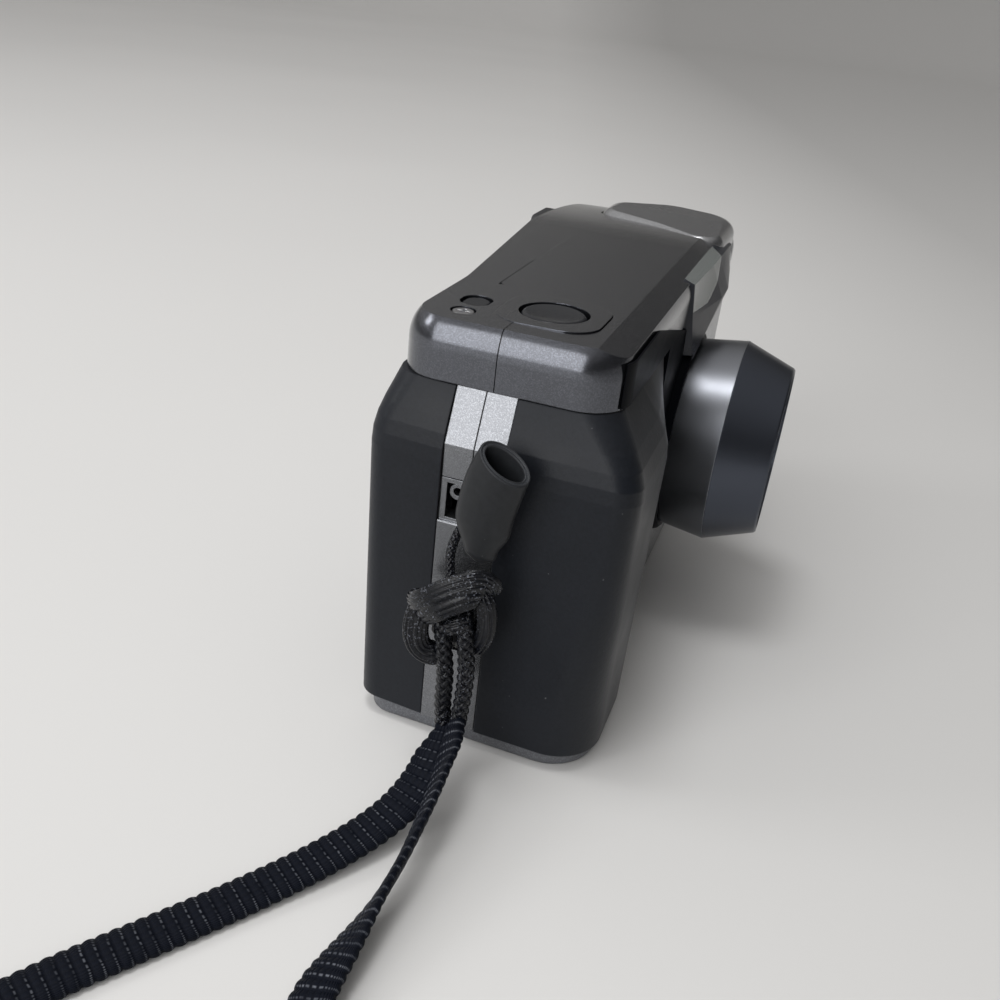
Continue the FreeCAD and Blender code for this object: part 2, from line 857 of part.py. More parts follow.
def window_pane(gap):
    """The slab of the pale window: its near edge upright, its far edge slanting out to the hinge end."""
    near = lens_x - 10.6 - gap
    foot = window_foot - gap
    depth = 0.8 + gap
    high = body_height
    outline = [(near, foot), (near + 8.8 + gap, foot - 0.1), (near + window_length + gap, high), (near, high)]
    points = [Vector(x, -prow_reach - 5, z) for x, z in outline]
    swept = Part.Face(Part.makePolygon(points + [points[0]])).extrude(Vector(0, prow_reach + 5, 0))
    kept = prow_body(0)
    kept.translate(Vector(0, depth, 0))
    return swept.common(prow_body(0)).cut(kept)


def front_window():
    """The pale glossy window, flush with the prow."""
    return largest(window_pane(0))


def af_module():
    """The focus unit behind the pale window."""
    low = seam_height + 0.5
    body = box(lens_x - 16, lens_x + 3, -15.5, -5.0, low, low + 4.5)
    eyes = [rod(1.9, (lens_x - 12 + i * 11, -15.5, low + 2.3), FRONT, 1.2) for i in range(2)]
    return one(body.fuse(eyes[0]).fuse(eyes[1]))


def flash_plan(gap):
    """The low flash pod seen from above."""
    front = -front_reach - cover_proud
    return [
        (hinge_end - 38.0 - gap, front + 0.1, 5.0),
        (hinge_end - 8.5 + gap, front + 0.1, 9.0),
        (hinge_end - 4.5 + gap, -3.0, 9.0),
        (hinge_end - 12.0 + gap, 9.6 + gap, 6.0),
        (hinge_end - 24.0 - gap, 9.6 + gap, 6.0),
        (hinge_end - 29.0 - gap, -4.0, 12.0),
    ]


def flash_housing():
    """The pod over the flash, which stays level where the plate falls away."""
    pod = prism(flash_plan(0), seam_height + 2, flash_top)
    pod = softened(pod, 3.0, lambda p, e: abs(p.z - flash_top) < 0.01)
    near = hinge_end - 38.0
    slope = (flash_top - body_height + 0.4) / flash_ramp
    ramp = front_prism([
        (near - 8, body_height - 0.4 - slope * 8, 0),
        (near + flash_ramp, flash_top, 0),
        (near + flash_ramp, flash_top + 3, 0),
        (near - 8, flash_top + 3, 0),
    ], -front_reach - 5, rear_reach)
    pod = pod.cut(ramp)
    return largest(one(pod.common(sky(-0.9)).cut(prow_room()).cut(flash_window_block(0.1))))


def flash_pocket():
    """The shallow pocket in the cover that the pod sits in."""
    pocket = prism(flash_plan(flash_gap), seam_height + 2, body_height + 1)
    return pocket.common(sky(-1.0))


def flash_window_block(gap):
    """The flash window's outside."""
    half = flash_half + gap
    low = flash_low - gap
    high = flash_high + gap
    corners = [
        (flash_x - half, low, 1.0),
        (flash_x + half, low, 1.0),
        (flash_x + half, high, 1.0),
        (flash_x - half, high, 1.0),
    ]
    return front_prism(corners, -front_reach - 3.0, -front_reach + 3.0)


def flash_window():
    """The ribbed clear window of the flash, flush with the cover and the prow."""
    inner = -front_reach + 1.4
    pane = flash_window_block(0).common(cover_block().fuse(prow_body(0)))
    pane = pane.cut(box(flash_x - 10, flash_x + 10, inner, 0, seam_height, body_height))
    for i in range(7):
        x = flash_x + (i - 3) * 2
        pane = pane.cut(rod(0.35, (x, inner, seam_height), UP, cover_height))
    return largest(pane)


def flash_reflector():
    """The trough behind the flash window."""
    mouth = -front_reach + 2.0
    back = -11.0
    low = flash_low - 0.2
    high = flash_high - 1.1
    wall = 0.5
    half = flash_half + 0.5
    outer = side_prism([(mouth, low, 0), (mouth, high, 0), (back, high - 0.4, 0), (back, low + 0.4, 0)],
                       flash_x - half, flash_x + half)
    room = side_prism([
        (mouth - 0.1, low + wall, 0),
        (mouth - 0.1, high - wall, 0),
        (back - wall, high - wall - 0.4, 0),
        (back - wall, low + wall + 0.4, 0),
    ], flash_x - flash_half, flash_x + flash_half)
    return outer.cut(room)


def flash_tube():
    """The flash lamp."""
    length = 2 * flash_half - 0.4
    return rod(0.4, (flash_x - length / 2, -13.9, flash_low + 0.95), (1, 0, 0), length)


def flash_capacitor():
    """The flash capacitor, under the lens unit."""
    can = rod(5.8, (lens_x - 19, -10.4, 10.4), (1, 0, 0), 34)
    return softened(can, 0.6, lambda p, e: e.Curve.TypeId == "Part::GeomCircle")


def lcd_block(gap):
    """The frame counter's window on the rear of the cover."""
    x = grip_end + 50
    low = seam_height + 1.7 - gap
    high = seam_height + 6.1 + gap
    corners = [
        (x - 6 - gap, low, 0.8),
        (x + 6 + gap, low, 0.8),
        (x + 6 + gap, high, 0.8),
        (x - 6 - gap, high, 0.8),
    ]
    return front_prism(corners, thumb_cover_reach - 2.0, rear_reach + 2)


def lcd_window():
    """The frame counter's window, flush with the rear of the cover."""
    inside = inner_prism(cover_corners(), 1.2, seam_height, body_height)
    return largest(lcd_block(0).common(cover_block()).cut(inside))


def rocker_room():
    """The slot in the rear of the cover for the zoom rocker."""
    return box(rocker_x - 6.3, rocker_x + 6.3, thumb_cover_reach - 4.0, thumb_cover_reach + 3,
               rocker_low - slide_gap, rocker_high + slide_gap)


def zoom_rocker():
    """The two-way zoom key under the thumb."""
    y = thumb_cover_reach
    corners = [
        (rocker_x - 5.9, y - 1.4, 0),
        (rocker_x - 5.9, y + 0.9, 0.6),
        (rocker_x, y + 0.35, 12.0),
        (rocker_x + 5.9, y + 0.9, 0.6),
        (rocker_x + 5.9, y - 1.4, 0),
    ]
    key = prism(corners, rocker_low, rocker_high)
    barrel = rod(1.0, (rocker_x, y - 1.6, rocker_low), UP, rocker_high - rocker_low)
    return one(key.fuse(barrel))


# Grips

def between(first, second, share):
    """A level's numbers part of the way from one level to another."""
    return [a + (b - a) * share for a, b in zip(first, second)]


def ridged_levels(foot, ridge, seam):
    """A grip's levels from foot to seam, with its ridge rounded over. The first number is the height."""
    low = between(ridge, foot, ridge_round / (ridge[0] - foot[0]))
    high = between(ridge, seam, ridge_round / (seam[0] - ridge[0]))
    levels = [foot, low]
    for share in (0.33, 0.67):
        levels.append(between(between(low, ridge, share), between(ridge, high, share), share))
    return levels + [high, seam]


def front_grip():
    """The rubber front grip, swelling to its ridge and sloping to the seam."""
    near_seam = grip_end + shoulder_inset
    foot = (base_height + 0.05, grip_end + 0.4, grip_end, 8.0, grip_reach - foot_inset)
    ridge = (ridge_height, grip_end, grip_end, 3.5, grip_reach)
    seam = (seam_height - 0.2, near_seam, near_seam, 5.0, front_reach + 0.3)
    levels = ridged_levels(foot, ridge, seam)
    grip = straight_loft([(level[0], front_grip_corners(*level[1:])) for level in levels])
    return largest(one(grip.cut(shell_block(0))))


def rear_grip():
    """The rubber rear grip, round the corner of the door."""
    foot = (base_height + 0.3, grip_end + 0.6, 4.0, thumb_reach - 0.6)
    ridge = (ridge_height, grip_end + 0.5, 3.5, thumb_reach)
    seam = (seam_height - 0.2, grip_end + shoulder_inset, 4.5, thumb_cover_reach + 0.2)
    levels = ridged_levels(foot, ridge, seam)
    grip = straight_loft([(level[0], rear_grip_corners(*level[1:])) for level in levels])
    return largest(one(grip.cut(shell_block(0)).cut(lug_recess())))


# Lens unit, all turned about the lens axis

def lens_point(reach):
    """A point on the lens axis, a distance in front of the parting plane."""
    return (lens_x, -reach, lens_z)


def front_trim():
    """The thin black trim from the near corner to the lens, cut off on a slant at its top."""
    past_grip = grip_end + front_grip_length + 0.6
    high = body_height - (front_reach + cover_proud - chamfer_start) * chamfer_slope - 0.1
    outline = [
        (trim_near, seam_height + 0.2, 0),
        (trim_near, high, 0),
        (lens_x - 41.0, high, 0),
        (lens_x - 6.0, seam_height - 2.6, 0),
        (lens_x - 6.0, lens_z, 0),
        (lens_x - 14.0, trim_low, 0),
        (past_grip, trim_low, 0),
        (past_grip, seam_height + 0.2, 0),
    ]
    face = front_reach + cover_proud + trim_thickness
    skin = inner_prism(cover_corners(), -trim_thickness, seam_height - 1, body_height)
    skin = skin.cut(prism(cover_corners(), seam_height - part_gap, body_height + 1))
    skin = skin.cut(box(grip_end - 5, hinge_end + 5, -front_reach, 40, 0, body_height))
    slab = box(past_grip - 5, lens_x, -face, -front_reach, 0, seam_height - 0.5)
    trim = skin.fuse(slab).common(front_prism(outline, -30, 0))
    return trim.cut(prow_body(part_gap)).cut(rod(housing_radius + 0.2, (lens_x, 0, lens_z), FRONT, 60))


def lens_shroud():
    """The dark boss on the front of the body, with the trim beside it."""
    profile = [
        (housing_radius + 0.2, 0),
        (boss_radius, 0),
        (boss_radius - 0.9, boss_rise - 0.4),
        (boss_radius - 1.4, boss_rise),
        (housing_radius + 0.2, boss_rise),
    ]
    return one(turned(profile, lens_point(front_reach), FRONT).fuse(front_trim()))


band_start = front_reach + boss_rise
band_end = band_start + band_length
bezel_end = band_end + bezel_length


def lens_band():
    """The satin metal ring."""
    profile = [
        (housing_radius + 0.05, 0),
        (band_start_radius, 0),
        (band_end_radius, band_length),
        (housing_radius + 0.05, band_length),
    ]
    return turned(profile, lens_point(band_start), FRONT)


def lens_bezel():
    """The tapered dark front section with its thin rim."""
    bore = barrel_radius + slide_gap
    profile = [
        (housing_radius + 0.05, 0),
        (band_end_radius - 0.05, 0),
        (bezel_end_radius, bezel_length - 0.3),
        (bezel_end_radius - 0.3, bezel_length),
        (bore, bezel_length),
        (bore, bezel_length - 4.0),
        (housing_radius + 0.05, bezel_length - 7.0),
    ]
    return turned(profile, lens_point(band_end), FRONT)


def lens_housing():
    """The fixed tube that carries the band and the bezel, with its flange."""
    back = 4.0
    front = band_end + 1.6
    tube = ring(housing_radius, housing_radius - housing_wall, lens_point(back), FRONT, front - back)
    flange = ring(housing_radius + 1.6, housing_radius - housing_wall, lens_point(back), FRONT, 1.2)
    return one(tube.fuse(flange))


def cam_ring():
    """The ring that turns to drive the barrels, with its cam slots."""
    back = 6.0
    front = band_end - 1.0
    tube = ring(cam_radius, cam_radius - cam_wall, lens_point(back), FRONT, front - back)
    for i in range(3):
        slot = box(-1.1, 1.1, -20, 0, back + 3.0, front - 3.0)
        slot.rotate(Vector(0, 0, 0), Vector(0, 0, 1), 120 * i)
        turn = FreeCAD.Rotation(Vector(0, 0, 1), Vector(*FRONT))
        slot.Placement = FreeCAD.Placement(Vector(lens_x, 0, lens_z), turn).multiply(slot.Placement)
        tube = tube.cut(slot)
    return one(tube)


def barrel_tube(radius, wall, back, front, lip_inner):
    """A barrel with a lip at its front."""
    tube = ring(radius, radius - wall, lens_point(back), FRONT, front - back)
    lip = ring(radius, lip_inner, lens_point(front - 0.9), FRONT, 0.9)
    return one(tube.fuse(lip))


zoom_front = bezel_end - 0.4
inner_front = zoom_front - 0.4
inner_radius = barrel_radius - barrel_wall - slide_gap


def zoom_barrel():
    """The outer moving barrel."""
    body = barrel_tube(barrel_radius, barrel_wall, 9.0, zoom_front, inner_radius + slide_gap)
    return softened(body, 0.3, lambda p, e: abs(p.y + zoom_front) < 0.01 and e.Length > 90)


def inner_barrel():
    """The inner moving barrel, with the face that hides the barrier blades."""
    face = ring(inner_radius, eye_radius, lens_point(inner_front - 0.8), FRONT, 0.8)
    tube = ring(inner_radius, inner_radius - inner_barrel_wall, lens_point(13.0), FRONT, inner_front - 13.0)
    seat = ring(inner_radius - 0.4, front_glass_radius + 0.1, lens_point(inner_front - 6.6), FRONT, 4.2)
    return one(face.fuse(tube).fuse(seat))


def barrier_blade(side):
    """Half of the cover over the front lens, pulled to one side when the lens comes out."""
    disc = rod(blade_radius, lens_point(inner_front - 1.5), FRONT, 0.5)
    half = box(lens_x - 20, lens_x - 0.03, -80, 0, 0, 80)
    if side > 0:
        half = box(lens_x + 0.03, lens_x + 20, -80, 0, 0, 80)
    return disc.common(half)


def lens_disc(radius, back, front, bulge):
    """A thick lens with a domed front."""
    body = rod(radius, lens_point(back), FRONT, front - back)
    sphere_radius = (radius * radius + bulge * bulge) / (2 * bulge)
    ball = Part.makeSphere(sphere_radius, Vector(*lens_point(front - sphere_radius)))
    return body.common(ball)


def front_lens():
    """The front glass."""
    return lens_disc(front_glass_radius, inner_front - 6.4, inner_front - 2.2, 1.2)


def rear_lens():
    """The rear glass in its cell, at the back of the inner barrel."""
    glass = lens_disc(rear_glass_radius, 13.2, 16.4, 0.8)
    cell = ring(inner_radius - inner_barrel_wall, rear_glass_radius + 0.1, lens_point(13.2), FRONT, 2.2)
    return Part.makeCompound([glass, cell])


def shutter_unit():
    """The blade shutter between the glasses."""
    plate = ring(inner_radius - inner_barrel_wall, 4.0, lens_point(22.0), FRONT, 3.0)
    blades = [rod(4.6, lens_point(21.6), FRONT, 0.3)]
    return Part.makeCompound([plate] + blades)


def zoom_motor():
    """The zoom motor with its closed gear case, beside the lens unit."""
    x = lens_x + 14.0
    middle = seam_height - 5.1
    body = rod(3.6, (x, -11.5, middle), (1, 0, 0), 7.4)
    case = box(x - 5.0, x, -16.2, -7.0, middle - 3.2, middle + 3.6)
    return one(body.fuse(case))


# Film chamber

def bay(centre_x, centre_y, radius, low, high, back):
    """A film bay seen from above: half round at the front, open to the rear."""
    round_end = rod(radius, (centre_x, centre_y, low), UP, high - low)
    return round_end.fuse(box(centre_x - radius, centre_x + radius, centre_y, back, low, high))


def main_frame():
    """The moulded frame: film gate, both film bays, light tunnel and front plate."""
    plate_face = film_plane - rail_height
    outer = chamber_radius + frame_wall
    plate = box(grip_end + 19, chamber_x + outer, 6.2, plate_face, frame_bottom, frame_top)
    cassette_wall = bay(chamber_x, chamber_y, outer, frame_bottom, frame_top, plate_face)
    spool_wall = bay(spool_x, spool_y, spool_bay_radius + frame_wall, frame_bottom, frame_top, plate_face)
    half_w = gate_width / 2
    half_h = gate_height / 2
    wall = tunnel_wall
    low_z = lens_z - half_h
    high_z = lens_z + half_h
    tunnel = box(lens_x - half_w - wall, lens_x + half_w + wall, -2.0, 6.4, low_z - wall, high_z + wall)
    near = spool_x + spool_bay_radius
    far = chamber_x - chamber_radius
    face = box(near, far, -4.0, -2.0, lens_z - 18.8, lens_z + 20.2)
    shelf = box(spool_x + spool_bay_radius, lens_x - half_w, -3.0, 6.4, high_z + 5.2, high_z + 6.7)
    frame = plate.fuse(cassette_wall).fuse(spool_wall).fuse(tunnel).fuse(face).fuse(shelf)
    for side in (-1, 1):
        z = lens_z + side * (half_h + 2.0)
        frame = frame.fuse(box(lens_x - 18, lens_x + 22, plate_face, film_plane, z - 0.8, z + 0.8))
    floor_top = frame_bottom + frame_wall
    frame = frame.cut(bay(chamber_x, chamber_y, chamber_radius, floor_top, 80, 40))
    frame = frame.cut(bay(spool_x, spool_y, spool_bay_radius, floor_top, 80, 40))
    frame = frame.cut(box(lens_x - half_w, lens_x + half_w, -1.9, 20, low_z, high_z))
    frame = frame.cut(rod(housing_radius - 1.3, lens_point(-1.0), FRONT, 10))
    frame = frame.cut(rod(fork_radius + pin_gap, (chamber_x, chamber_y, 0), UP, 20))
    frame = frame.cut(rod(spool_shaft_radius + pin_gap, (spool_x, spool_y, 0), UP, 20))
    x, y = roller_place()
    roller_length = frame_top - frame_bottom - 2 * roller_end
    pocket = rod(roller_radius + slide_gap, (x, y, frame_bottom + roller_end - slide_gap), UP,
                 roller_length + 2 * slide_gap)
    frame = frame.cut(pocket).cut(rod(roller_axle + pin_gap, (x, y, 0), UP, 80))
    frame = frame.cut(rod(motor_radius + slide_gap, (motor_x, motor_y, 0), UP, 80))
    return largest(one(frame))


def roller_place():
    """The film roller's axis, between the take-up bay and the gate."""
    return (spool_x + spool_bay_radius + frame_wall + 2.9, film_plane - rail_height - 1.5)


def film_roller():
    """The sensing roller that the film turns, on its two axle ends."""
    x, y = roller_place()
    length = frame_top - frame_bottom - 2 * roller_end
    body = rod(roller_radius, (x, y, frame_bottom + roller_end), UP, length)
    return one(body.fuse(rod(roller_axle, (x, y, frame_bottom + 0.2), UP, frame_top - frame_bottom - 0.4)))


def gear(teeth, centre, phase, low, thickness, bore):
    """A spur gear with slim straight-sided teeth, a tooth's middle at the phase angle."""
    pitch_radius = gear_module * teeth / 2
    root = pitch_radius - 0.75 * gear_module
    tip = pitch_radius + 0.7 * gear_module
    half_root = 0.26 * math.pi * gear_module
    half_tip = 0.10 * math.pi * gear_module
    body = rod(root, (0, 0, low), UP, thickness)
    for i in range(teeth):
        foot = root - 0.3
        corners = [(foot, -half_root, 0), (tip, -half_tip, 0), (tip, half_tip, 0), (foot, half_root, 0)]
        tooth = prism(corners, low, low + thickness)
        tooth.rotate(Vector(0, 0, 0), Vector(0, 0, 1), math.degrees(phase) + 360.0 * i / teeth)
        body = body.fuse(tooth)
    if bore > 0:
        body = body.cut(rod(bore, (0, 0, low - 1), UP, thickness + 2))
    body.translate(Vector(centre[0], centre[1], 0))
    return body


def idler_place():
    """The idler's axis, at the pitch distance from both its neighbours."""
    first = gear_module * (pinion_teeth + idler_teeth) / 2 + 0.05
    second = gear_module * (idler_teeth + spool_teeth) / 2 + 0.05
    dx = spool_x - motor_x
    dy = spool_y - motor_y
    span = math.hypot(dx, dy)
    along = (first ** 2 - second ** 2 + span ** 2) / (2 * span)
    aside = math.sqrt(max(first ** 2 - along ** 2, 0))
    return (motor_x + (dx * along + dy * aside) / span, motor_y + (dy * along - dx * aside) / span)


def meshed_phase(phase, direction, teeth, next_teeth):
    """The phase of a gear that meshes with the one before it."""
    shift = (phase - direction) * teeth / next_teeth + math.pi / next_teeth
    return direction + math.pi - shift


def gear_phases():
    """The phases of the idler and the spool gear, from the pinion's."""
    idler = idler_place()
    first = math.atan2(idler[1] - motor_y, idler[0] - motor_x)
    idler_phase = meshed_phase(first, first, pinion_teeth, idler_teeth)
    second = math.atan2(spool_y - idler[1], spool_x - idler[0])
    return first, idler_phase, meshed_phase(idler_phase, second, idler_teeth, spool_teeth)


def wind_motor():
    """The film motor, standing in the grip."""
    body = rod(motor_radius, (motor_x, motor_y, gear_bottom + gear_thickness + 0.6), UP, 30)
    return one(body.cut(rod(0.5 + pin_gap, (motor_x, motor_y, 0), UP, 12)))


def wind_pinion():
    """The pinion on the motor's shaft."""
    body = gear(pinion_teeth, (motor_x, motor_y), gear_phases()[0], gear_bottom, gear_thickness, 0)
    return one(body.fuse(rod(0.5, (motor_x, motor_y, gear_bottom), UP, 8.0)))


def wind_idler():
    """The gear between the motor and the spool, on its stud."""
    body = gear(idler_teeth, idler_place(), gear_phases()[1], gear_bottom, gear_thickness, 0.9 + pin_gap)
    return one(body)


def idler_stud():
    """The stud that carries the idler, standing on the base."""
    x, y = idler_place()
    return rod(0.9, (x, y, base_height - 0.5), UP, gear_bottom + gear_thickness + 0.4 - base_height + 0.5)


def take_up_spool():
    """The spool that winds the film, with its gear and its slots."""
    low = frame_bottom + frame_wall + 0.4
    body = rod(spool_radius, (spool_x, spool_y, low), UP, frame_top - low - 0.6)
    body = body.cut(rod(spool_radius - 1.4, (spool_x, spool_y, low + 2), UP, 60))
    for i in range(3):
        slot = box(0, 10, -0.8, 0.8, lens_z - 12, lens_z + 12)
        slot.rotate(Vector(0, 0, 0), Vector(0, 0, 1), 120 * i)
        slot.translate(Vector(spool_x, spool_y, 0))
        body = body.cut(slot)
    shaft = rod(spool_shaft_radius, (spool_x, spool_y, gear_bottom), UP, low - gear_bottom + 1)
    wheel = gear(spool_teeth, (spool_x, spool_y), gear_phases()[2], gear_bottom, gear_thickness, 0)
    return one(body.fuse(shaft).fuse(wheel))


def rewind_fork():
    """The fork that turns the cassette's spool."""
    low = base_height + 0.6
    shaft = rod(fork_radius, (chamber_x, chamber_y, low), UP, frame_bottom + frame_wall - low)
    fork = rod(2.6, (chamber_x, chamber_y, low), UP, 10.5)
    fork = fork.cut(box(chamber_x - 1.0, chamber_x + 1.0, chamber_y - 5, chamber_y + 5,
                        frame_bottom + frame_wall, 30))
    return one(shaft.fuse(fork))


def pressure_plate():
    """The plate that holds the film flat."""
    return box(lens_x - 23, lens_x + 21, film_plane + 0.4, film_plane + 1.2, lens_z - 15.5, lens_z + 15.5)


def plate_spring():
    """The bowed leaf between the pressure plate and the door."""
    near = film_plane + 1.25
    far = rear_reach - shell_wall - 0.75
    half = 12.0
    low = lens_z - 5
    outer = [Vector(lens_x - half, near, low), Vector(lens_x, far, low), Vector(lens_x + half, near, low)]
    ends = (lens_x + half - 1, lens_x - half + 1)
    inner = [Vector(ends[0], near, low), Vector(lens_x, far - 0.4, low), Vector(ends[1], near, low)]
    edges = [
        Part.Arc(*outer).toShape(),
        Part.LineSegment(outer[2], inner[0]).toShape(),
        Part.Arc(*inner).toShape(),
        Part.LineSegment(inner[2], outer[0]).toShape(),
    ]
    return Part.Face(Part.Wire(edges)).extrude(Vector(0, 0, 10))


# Door latch

def latch_slot():
    """The slot that the latch's neck runs in."""
    low = latch_low + 2 - latch_travel - slide_gap
    high = latch_high - 2 + slide_gap
    return box(grip_end - 2, grip_end + 4.3, -1.5, 1.5, low, high)


def door_latch():
    """The sliding latch: ribbed knob outside, hook plate inside."""
    face = grip_end + strip_recess - lower_strip_raise
    knob = box(face - 1.0, face - 0.1, -2.6, 2.6, latch_low, latch_high)
    for i in range(4):
        z = latch_low + 1.8 + 1.8 * i
        knob = knob.cut(rod(0.35, (face - 1.1, -3, z), REAR, 6))
    neck = box(face - 0.2, latch_inner + 0.1, -1.2, 1.2, latch_low + 2, latch_high - 2)
    plate = box(latch_inner, latch_inner + 1.0, -3.2, 3.2, latch_low - 2, latch_high + 3)
    arm = box(latch_inner, latch_inner + 1.0, -3.2, 7.6, latch_high, latch_high + 1.2)
    hook = box(latch_inner, latch_inner + 1.0, 6.4, 7.6, latch_high, latch_high + 3.6)
    return one(knob.fuse(neck).fuse(plate).fuse(arm).fuse(hook))


# Battery and electronics

def battery():
    """The lithium cell in the grip."""
    low = base_height + 0.05
    can = rod(battery_radius, (battery_x, battery_y, low), UP, battery_length - 1.2)
    cap = rod(3.2, (battery_x, battery_y, low), UP, battery_length)
    can = softened(can, 0.5, lambda p, e: e.Curve.TypeId == "Part::GeomCircle")
    return one(can.fuse(cap))


def battery_contacts():
    """The contact plate over the cell."""
    low = base_height + 0.05 + battery_length
    plate = box(battery_x - 6, battery_x + 6, battery_y - 4, battery_y + 5, low + 0.1, low + 0.9)
    return plate


def circuit_board():
    """The main board under the top cover."""
    low = frame_top + 0.8
    high = low + 0.8
    board = box(grip_end + 9, grip_end + 60, -11.0, 10.5, low, high)
    board = board.cut(rod(screw_radius, (screw_x, screw_y, low - 5), UP, 20))
    chips = box(grip_end + 36, grip_end + 46, -6, 4, high, high + 1.4)
    switch_top = button_top - stem_drop - button_travel - part_gap
    switch = box(button_x - 3, button_x + 3, button_y - 3, button_y + 3, high, switch_top)
    return one(board.fuse(chips).fuse(switch))


def tripod_socket():
    """The threaded bush in the base; the thread's form is left out."""
    bush = ring(socket_outer_radius, socket_radius, (0, 0, 0), UP, socket_depth)
    return bush


# Strap

def strap_lug():
    """The steel bar across the recess, with the cord's eye at its end."""
    x = grip_end + strip_recess + 0.3
    corners = [(-3.4, 42.9, 0), (3.2, 42.9, 1.2), (3.2, 45.4, 1.2), (-3.4, 45.4, 0)]
    bar = side_prism(corners, x, x + 1.1)
    return bar.cut(rod(0.65, (x - 1, 2.0, 44.2), (1, 0, 0), 4))


def routed_edges(points, radius_share):
    """Straight runs joined by tangent arcs; prints nothing and returns edges and radii."""
    places = [Vector(*p) for p in points]
    runs = [(places[i + 1] - places[i]).Length for i in range(len(places) - 1)]
    edges = []
    radii = []
    start = places[0]
    for i in range(1, len(places) - 1):
        back = (places[i - 1] - places[i]).normalize()
        forth = (places[i + 1] - places[i]).normalize()
        half = back.getAngle(forth) / 2
        reach = radius_share * min(runs[i - 1], runs[i])
        radius = reach * math.tan(half)
        inward = (back + forth).normalize()
        first = places[i] + back * reach
        last = places[i] + forth * reach
        middle = places[i] + inward * (radius / math.sin(half) - radius)
        edges.append(Part.LineSegment(start, first).toShape())
        edges.append(Part.Arc(first, middle, last).toShape())
        radii.append(round(radius, 1))
        start = last
    edges.append(Part.LineSegment(start, places[-1]).toShape())
    return edges, radii


def routed_tube(points, diameter, name):
    """A round cord along a route."""
    edges, radii = routed_edges(points, 0.45)
    print(name, "bend radii", radii)
    path = Part.Wire(edges)
    first = (Vector(*points[1]) - Vector(*points[0])).normalize()
    circle = Part.Wire(Part.makeCircle(diameter / 2, Vector(*points[0]), first))
    tube = path.makePipeShell([circle], True, False)
    section = math.pi * diameter ** 2 / 4
    print(name, "volume over section times length", round(tube.Volume / (path.Length * section), 3))
    return tube.Solids[0] if tube.Solids else Part.Solid(tube)


def strap_points(route):
    """A route given from the grip end, in the row's frame."""
    return [(grip_end + x, y, z) for x, y, z in route]


cord_route = [(2.0, -1.2, 41.6), (-0.6, -0.2, 40.8), (-2.4, 0.6, 38.6), (-3.8, 0.6, 36.0), (-5.0, -0.4, 33.4)]
rear_strand_route = [(-6.0, -0.9, 24.0), (-6.0, -1.0, 18.0), (-6.3, -1.7, 12.6)]
front_strand_route = [(-6.0, -4.1, 24.0), (-6.0, -4.1, 18.0), (-6.3, -4.4, 13.2)]
webbing_route = [
    (-6.8, -2.4, 9.8), (-10.9, -2.9, 7.4), (-16.6, -2.4, 5.1), (-22.8, -0.2, 3.2), (-30.6, 4.4, 1.8),
    (-40.3, 11.0, 1.0), (-50.9, 18.4, 1.0), (-62.5, 26.6, 1.0), (-76.0, 33.6, 1.0), (-92.0, 35.4, 1.0),
    (-106.0, 28.0, 1.0), (-112.0, 13.6, 1.0), (-107.0, -1.4, 1.0), (-94.0, -10.6, 1.0), (-78.5, -11.6, 1.0),
    (-65.0, -7.6, 1.2), (-52.5, -3.6, 1.8), (-42.0, -4.8, 2.9), (-32.0, -6.0, 4.6), (-24.3, -5.9, 6.2),
    (-17.2, -5.5, 7.8), (-11.3, -5.0, 9.6), (-6.9, -4.4, 11.7),
]


def strap_knot():
    """The knot, as one closed body of its outer form."""
    ball = Part.makeSphere(0.5)
    matrix = FreeCAD.Matrix()
    matrix.scale(*knot_size)
    body = ball.transformGeometry(matrix)
    body.translate(Vector(*knot_centre))
    return body


def strap_cord():
    """The thin cord from the lug to the knot."""
    tube = routed_tube(strap_points(cord_route), cord_diameter, "strap_cord")
    return largest(tube.cut(strap_knot()))


def strap_strands():
    """The two braided strands from the knot to the webbing."""
    parts = []
    for route in (rear_strand_route, front_strand_route):
        tube = routed_tube(strap_points(route), strand_diameter, "strap_strands")
        parts.append(largest(tube.cut(strap_knot())))
    return Part.makeCompound(parts)


def strap_webbing():
    """The flat ribbed webbing of the wrist loop, which comes down from the knot to the floor."""
    points = strap_points(webbing_route)
    edges, radii = routed_edges(points, 0.45)
    print("strap_webbing bend radii", radii)
    path = Part.Wire(edges)
    start = Vector(*points[0])
    along = (Vector(*points[1]) - start).normalize()
    side = along.cross(Vector(*UP)).normalize()
    across = side * (webbing_width / 2)
    thick = side.cross(along) * (webbing_thickness / 2)
    ends = [start + across + thick, start - across + thick, start - across - thick, start + across - thick]
    section = Part.Wire(Part.makePolygon(ends + [ends[0]]))
    sweep = Part.BRepOffsetAPI.MakePipeShell(path)
    sweep.setBiNormalMode(Vector(*UP))
    sweep.add(section, False, False)
    sweep.build()
    sweep.makeSolid()
    band = sweep.shape()
    share = band.Volume / (path.Length * webbing_width * webbing_thickness)
    print("strap_webbing length", round(path.Length, 1), "volume over section times length", round(share, 3))
    return band.Solids[0]


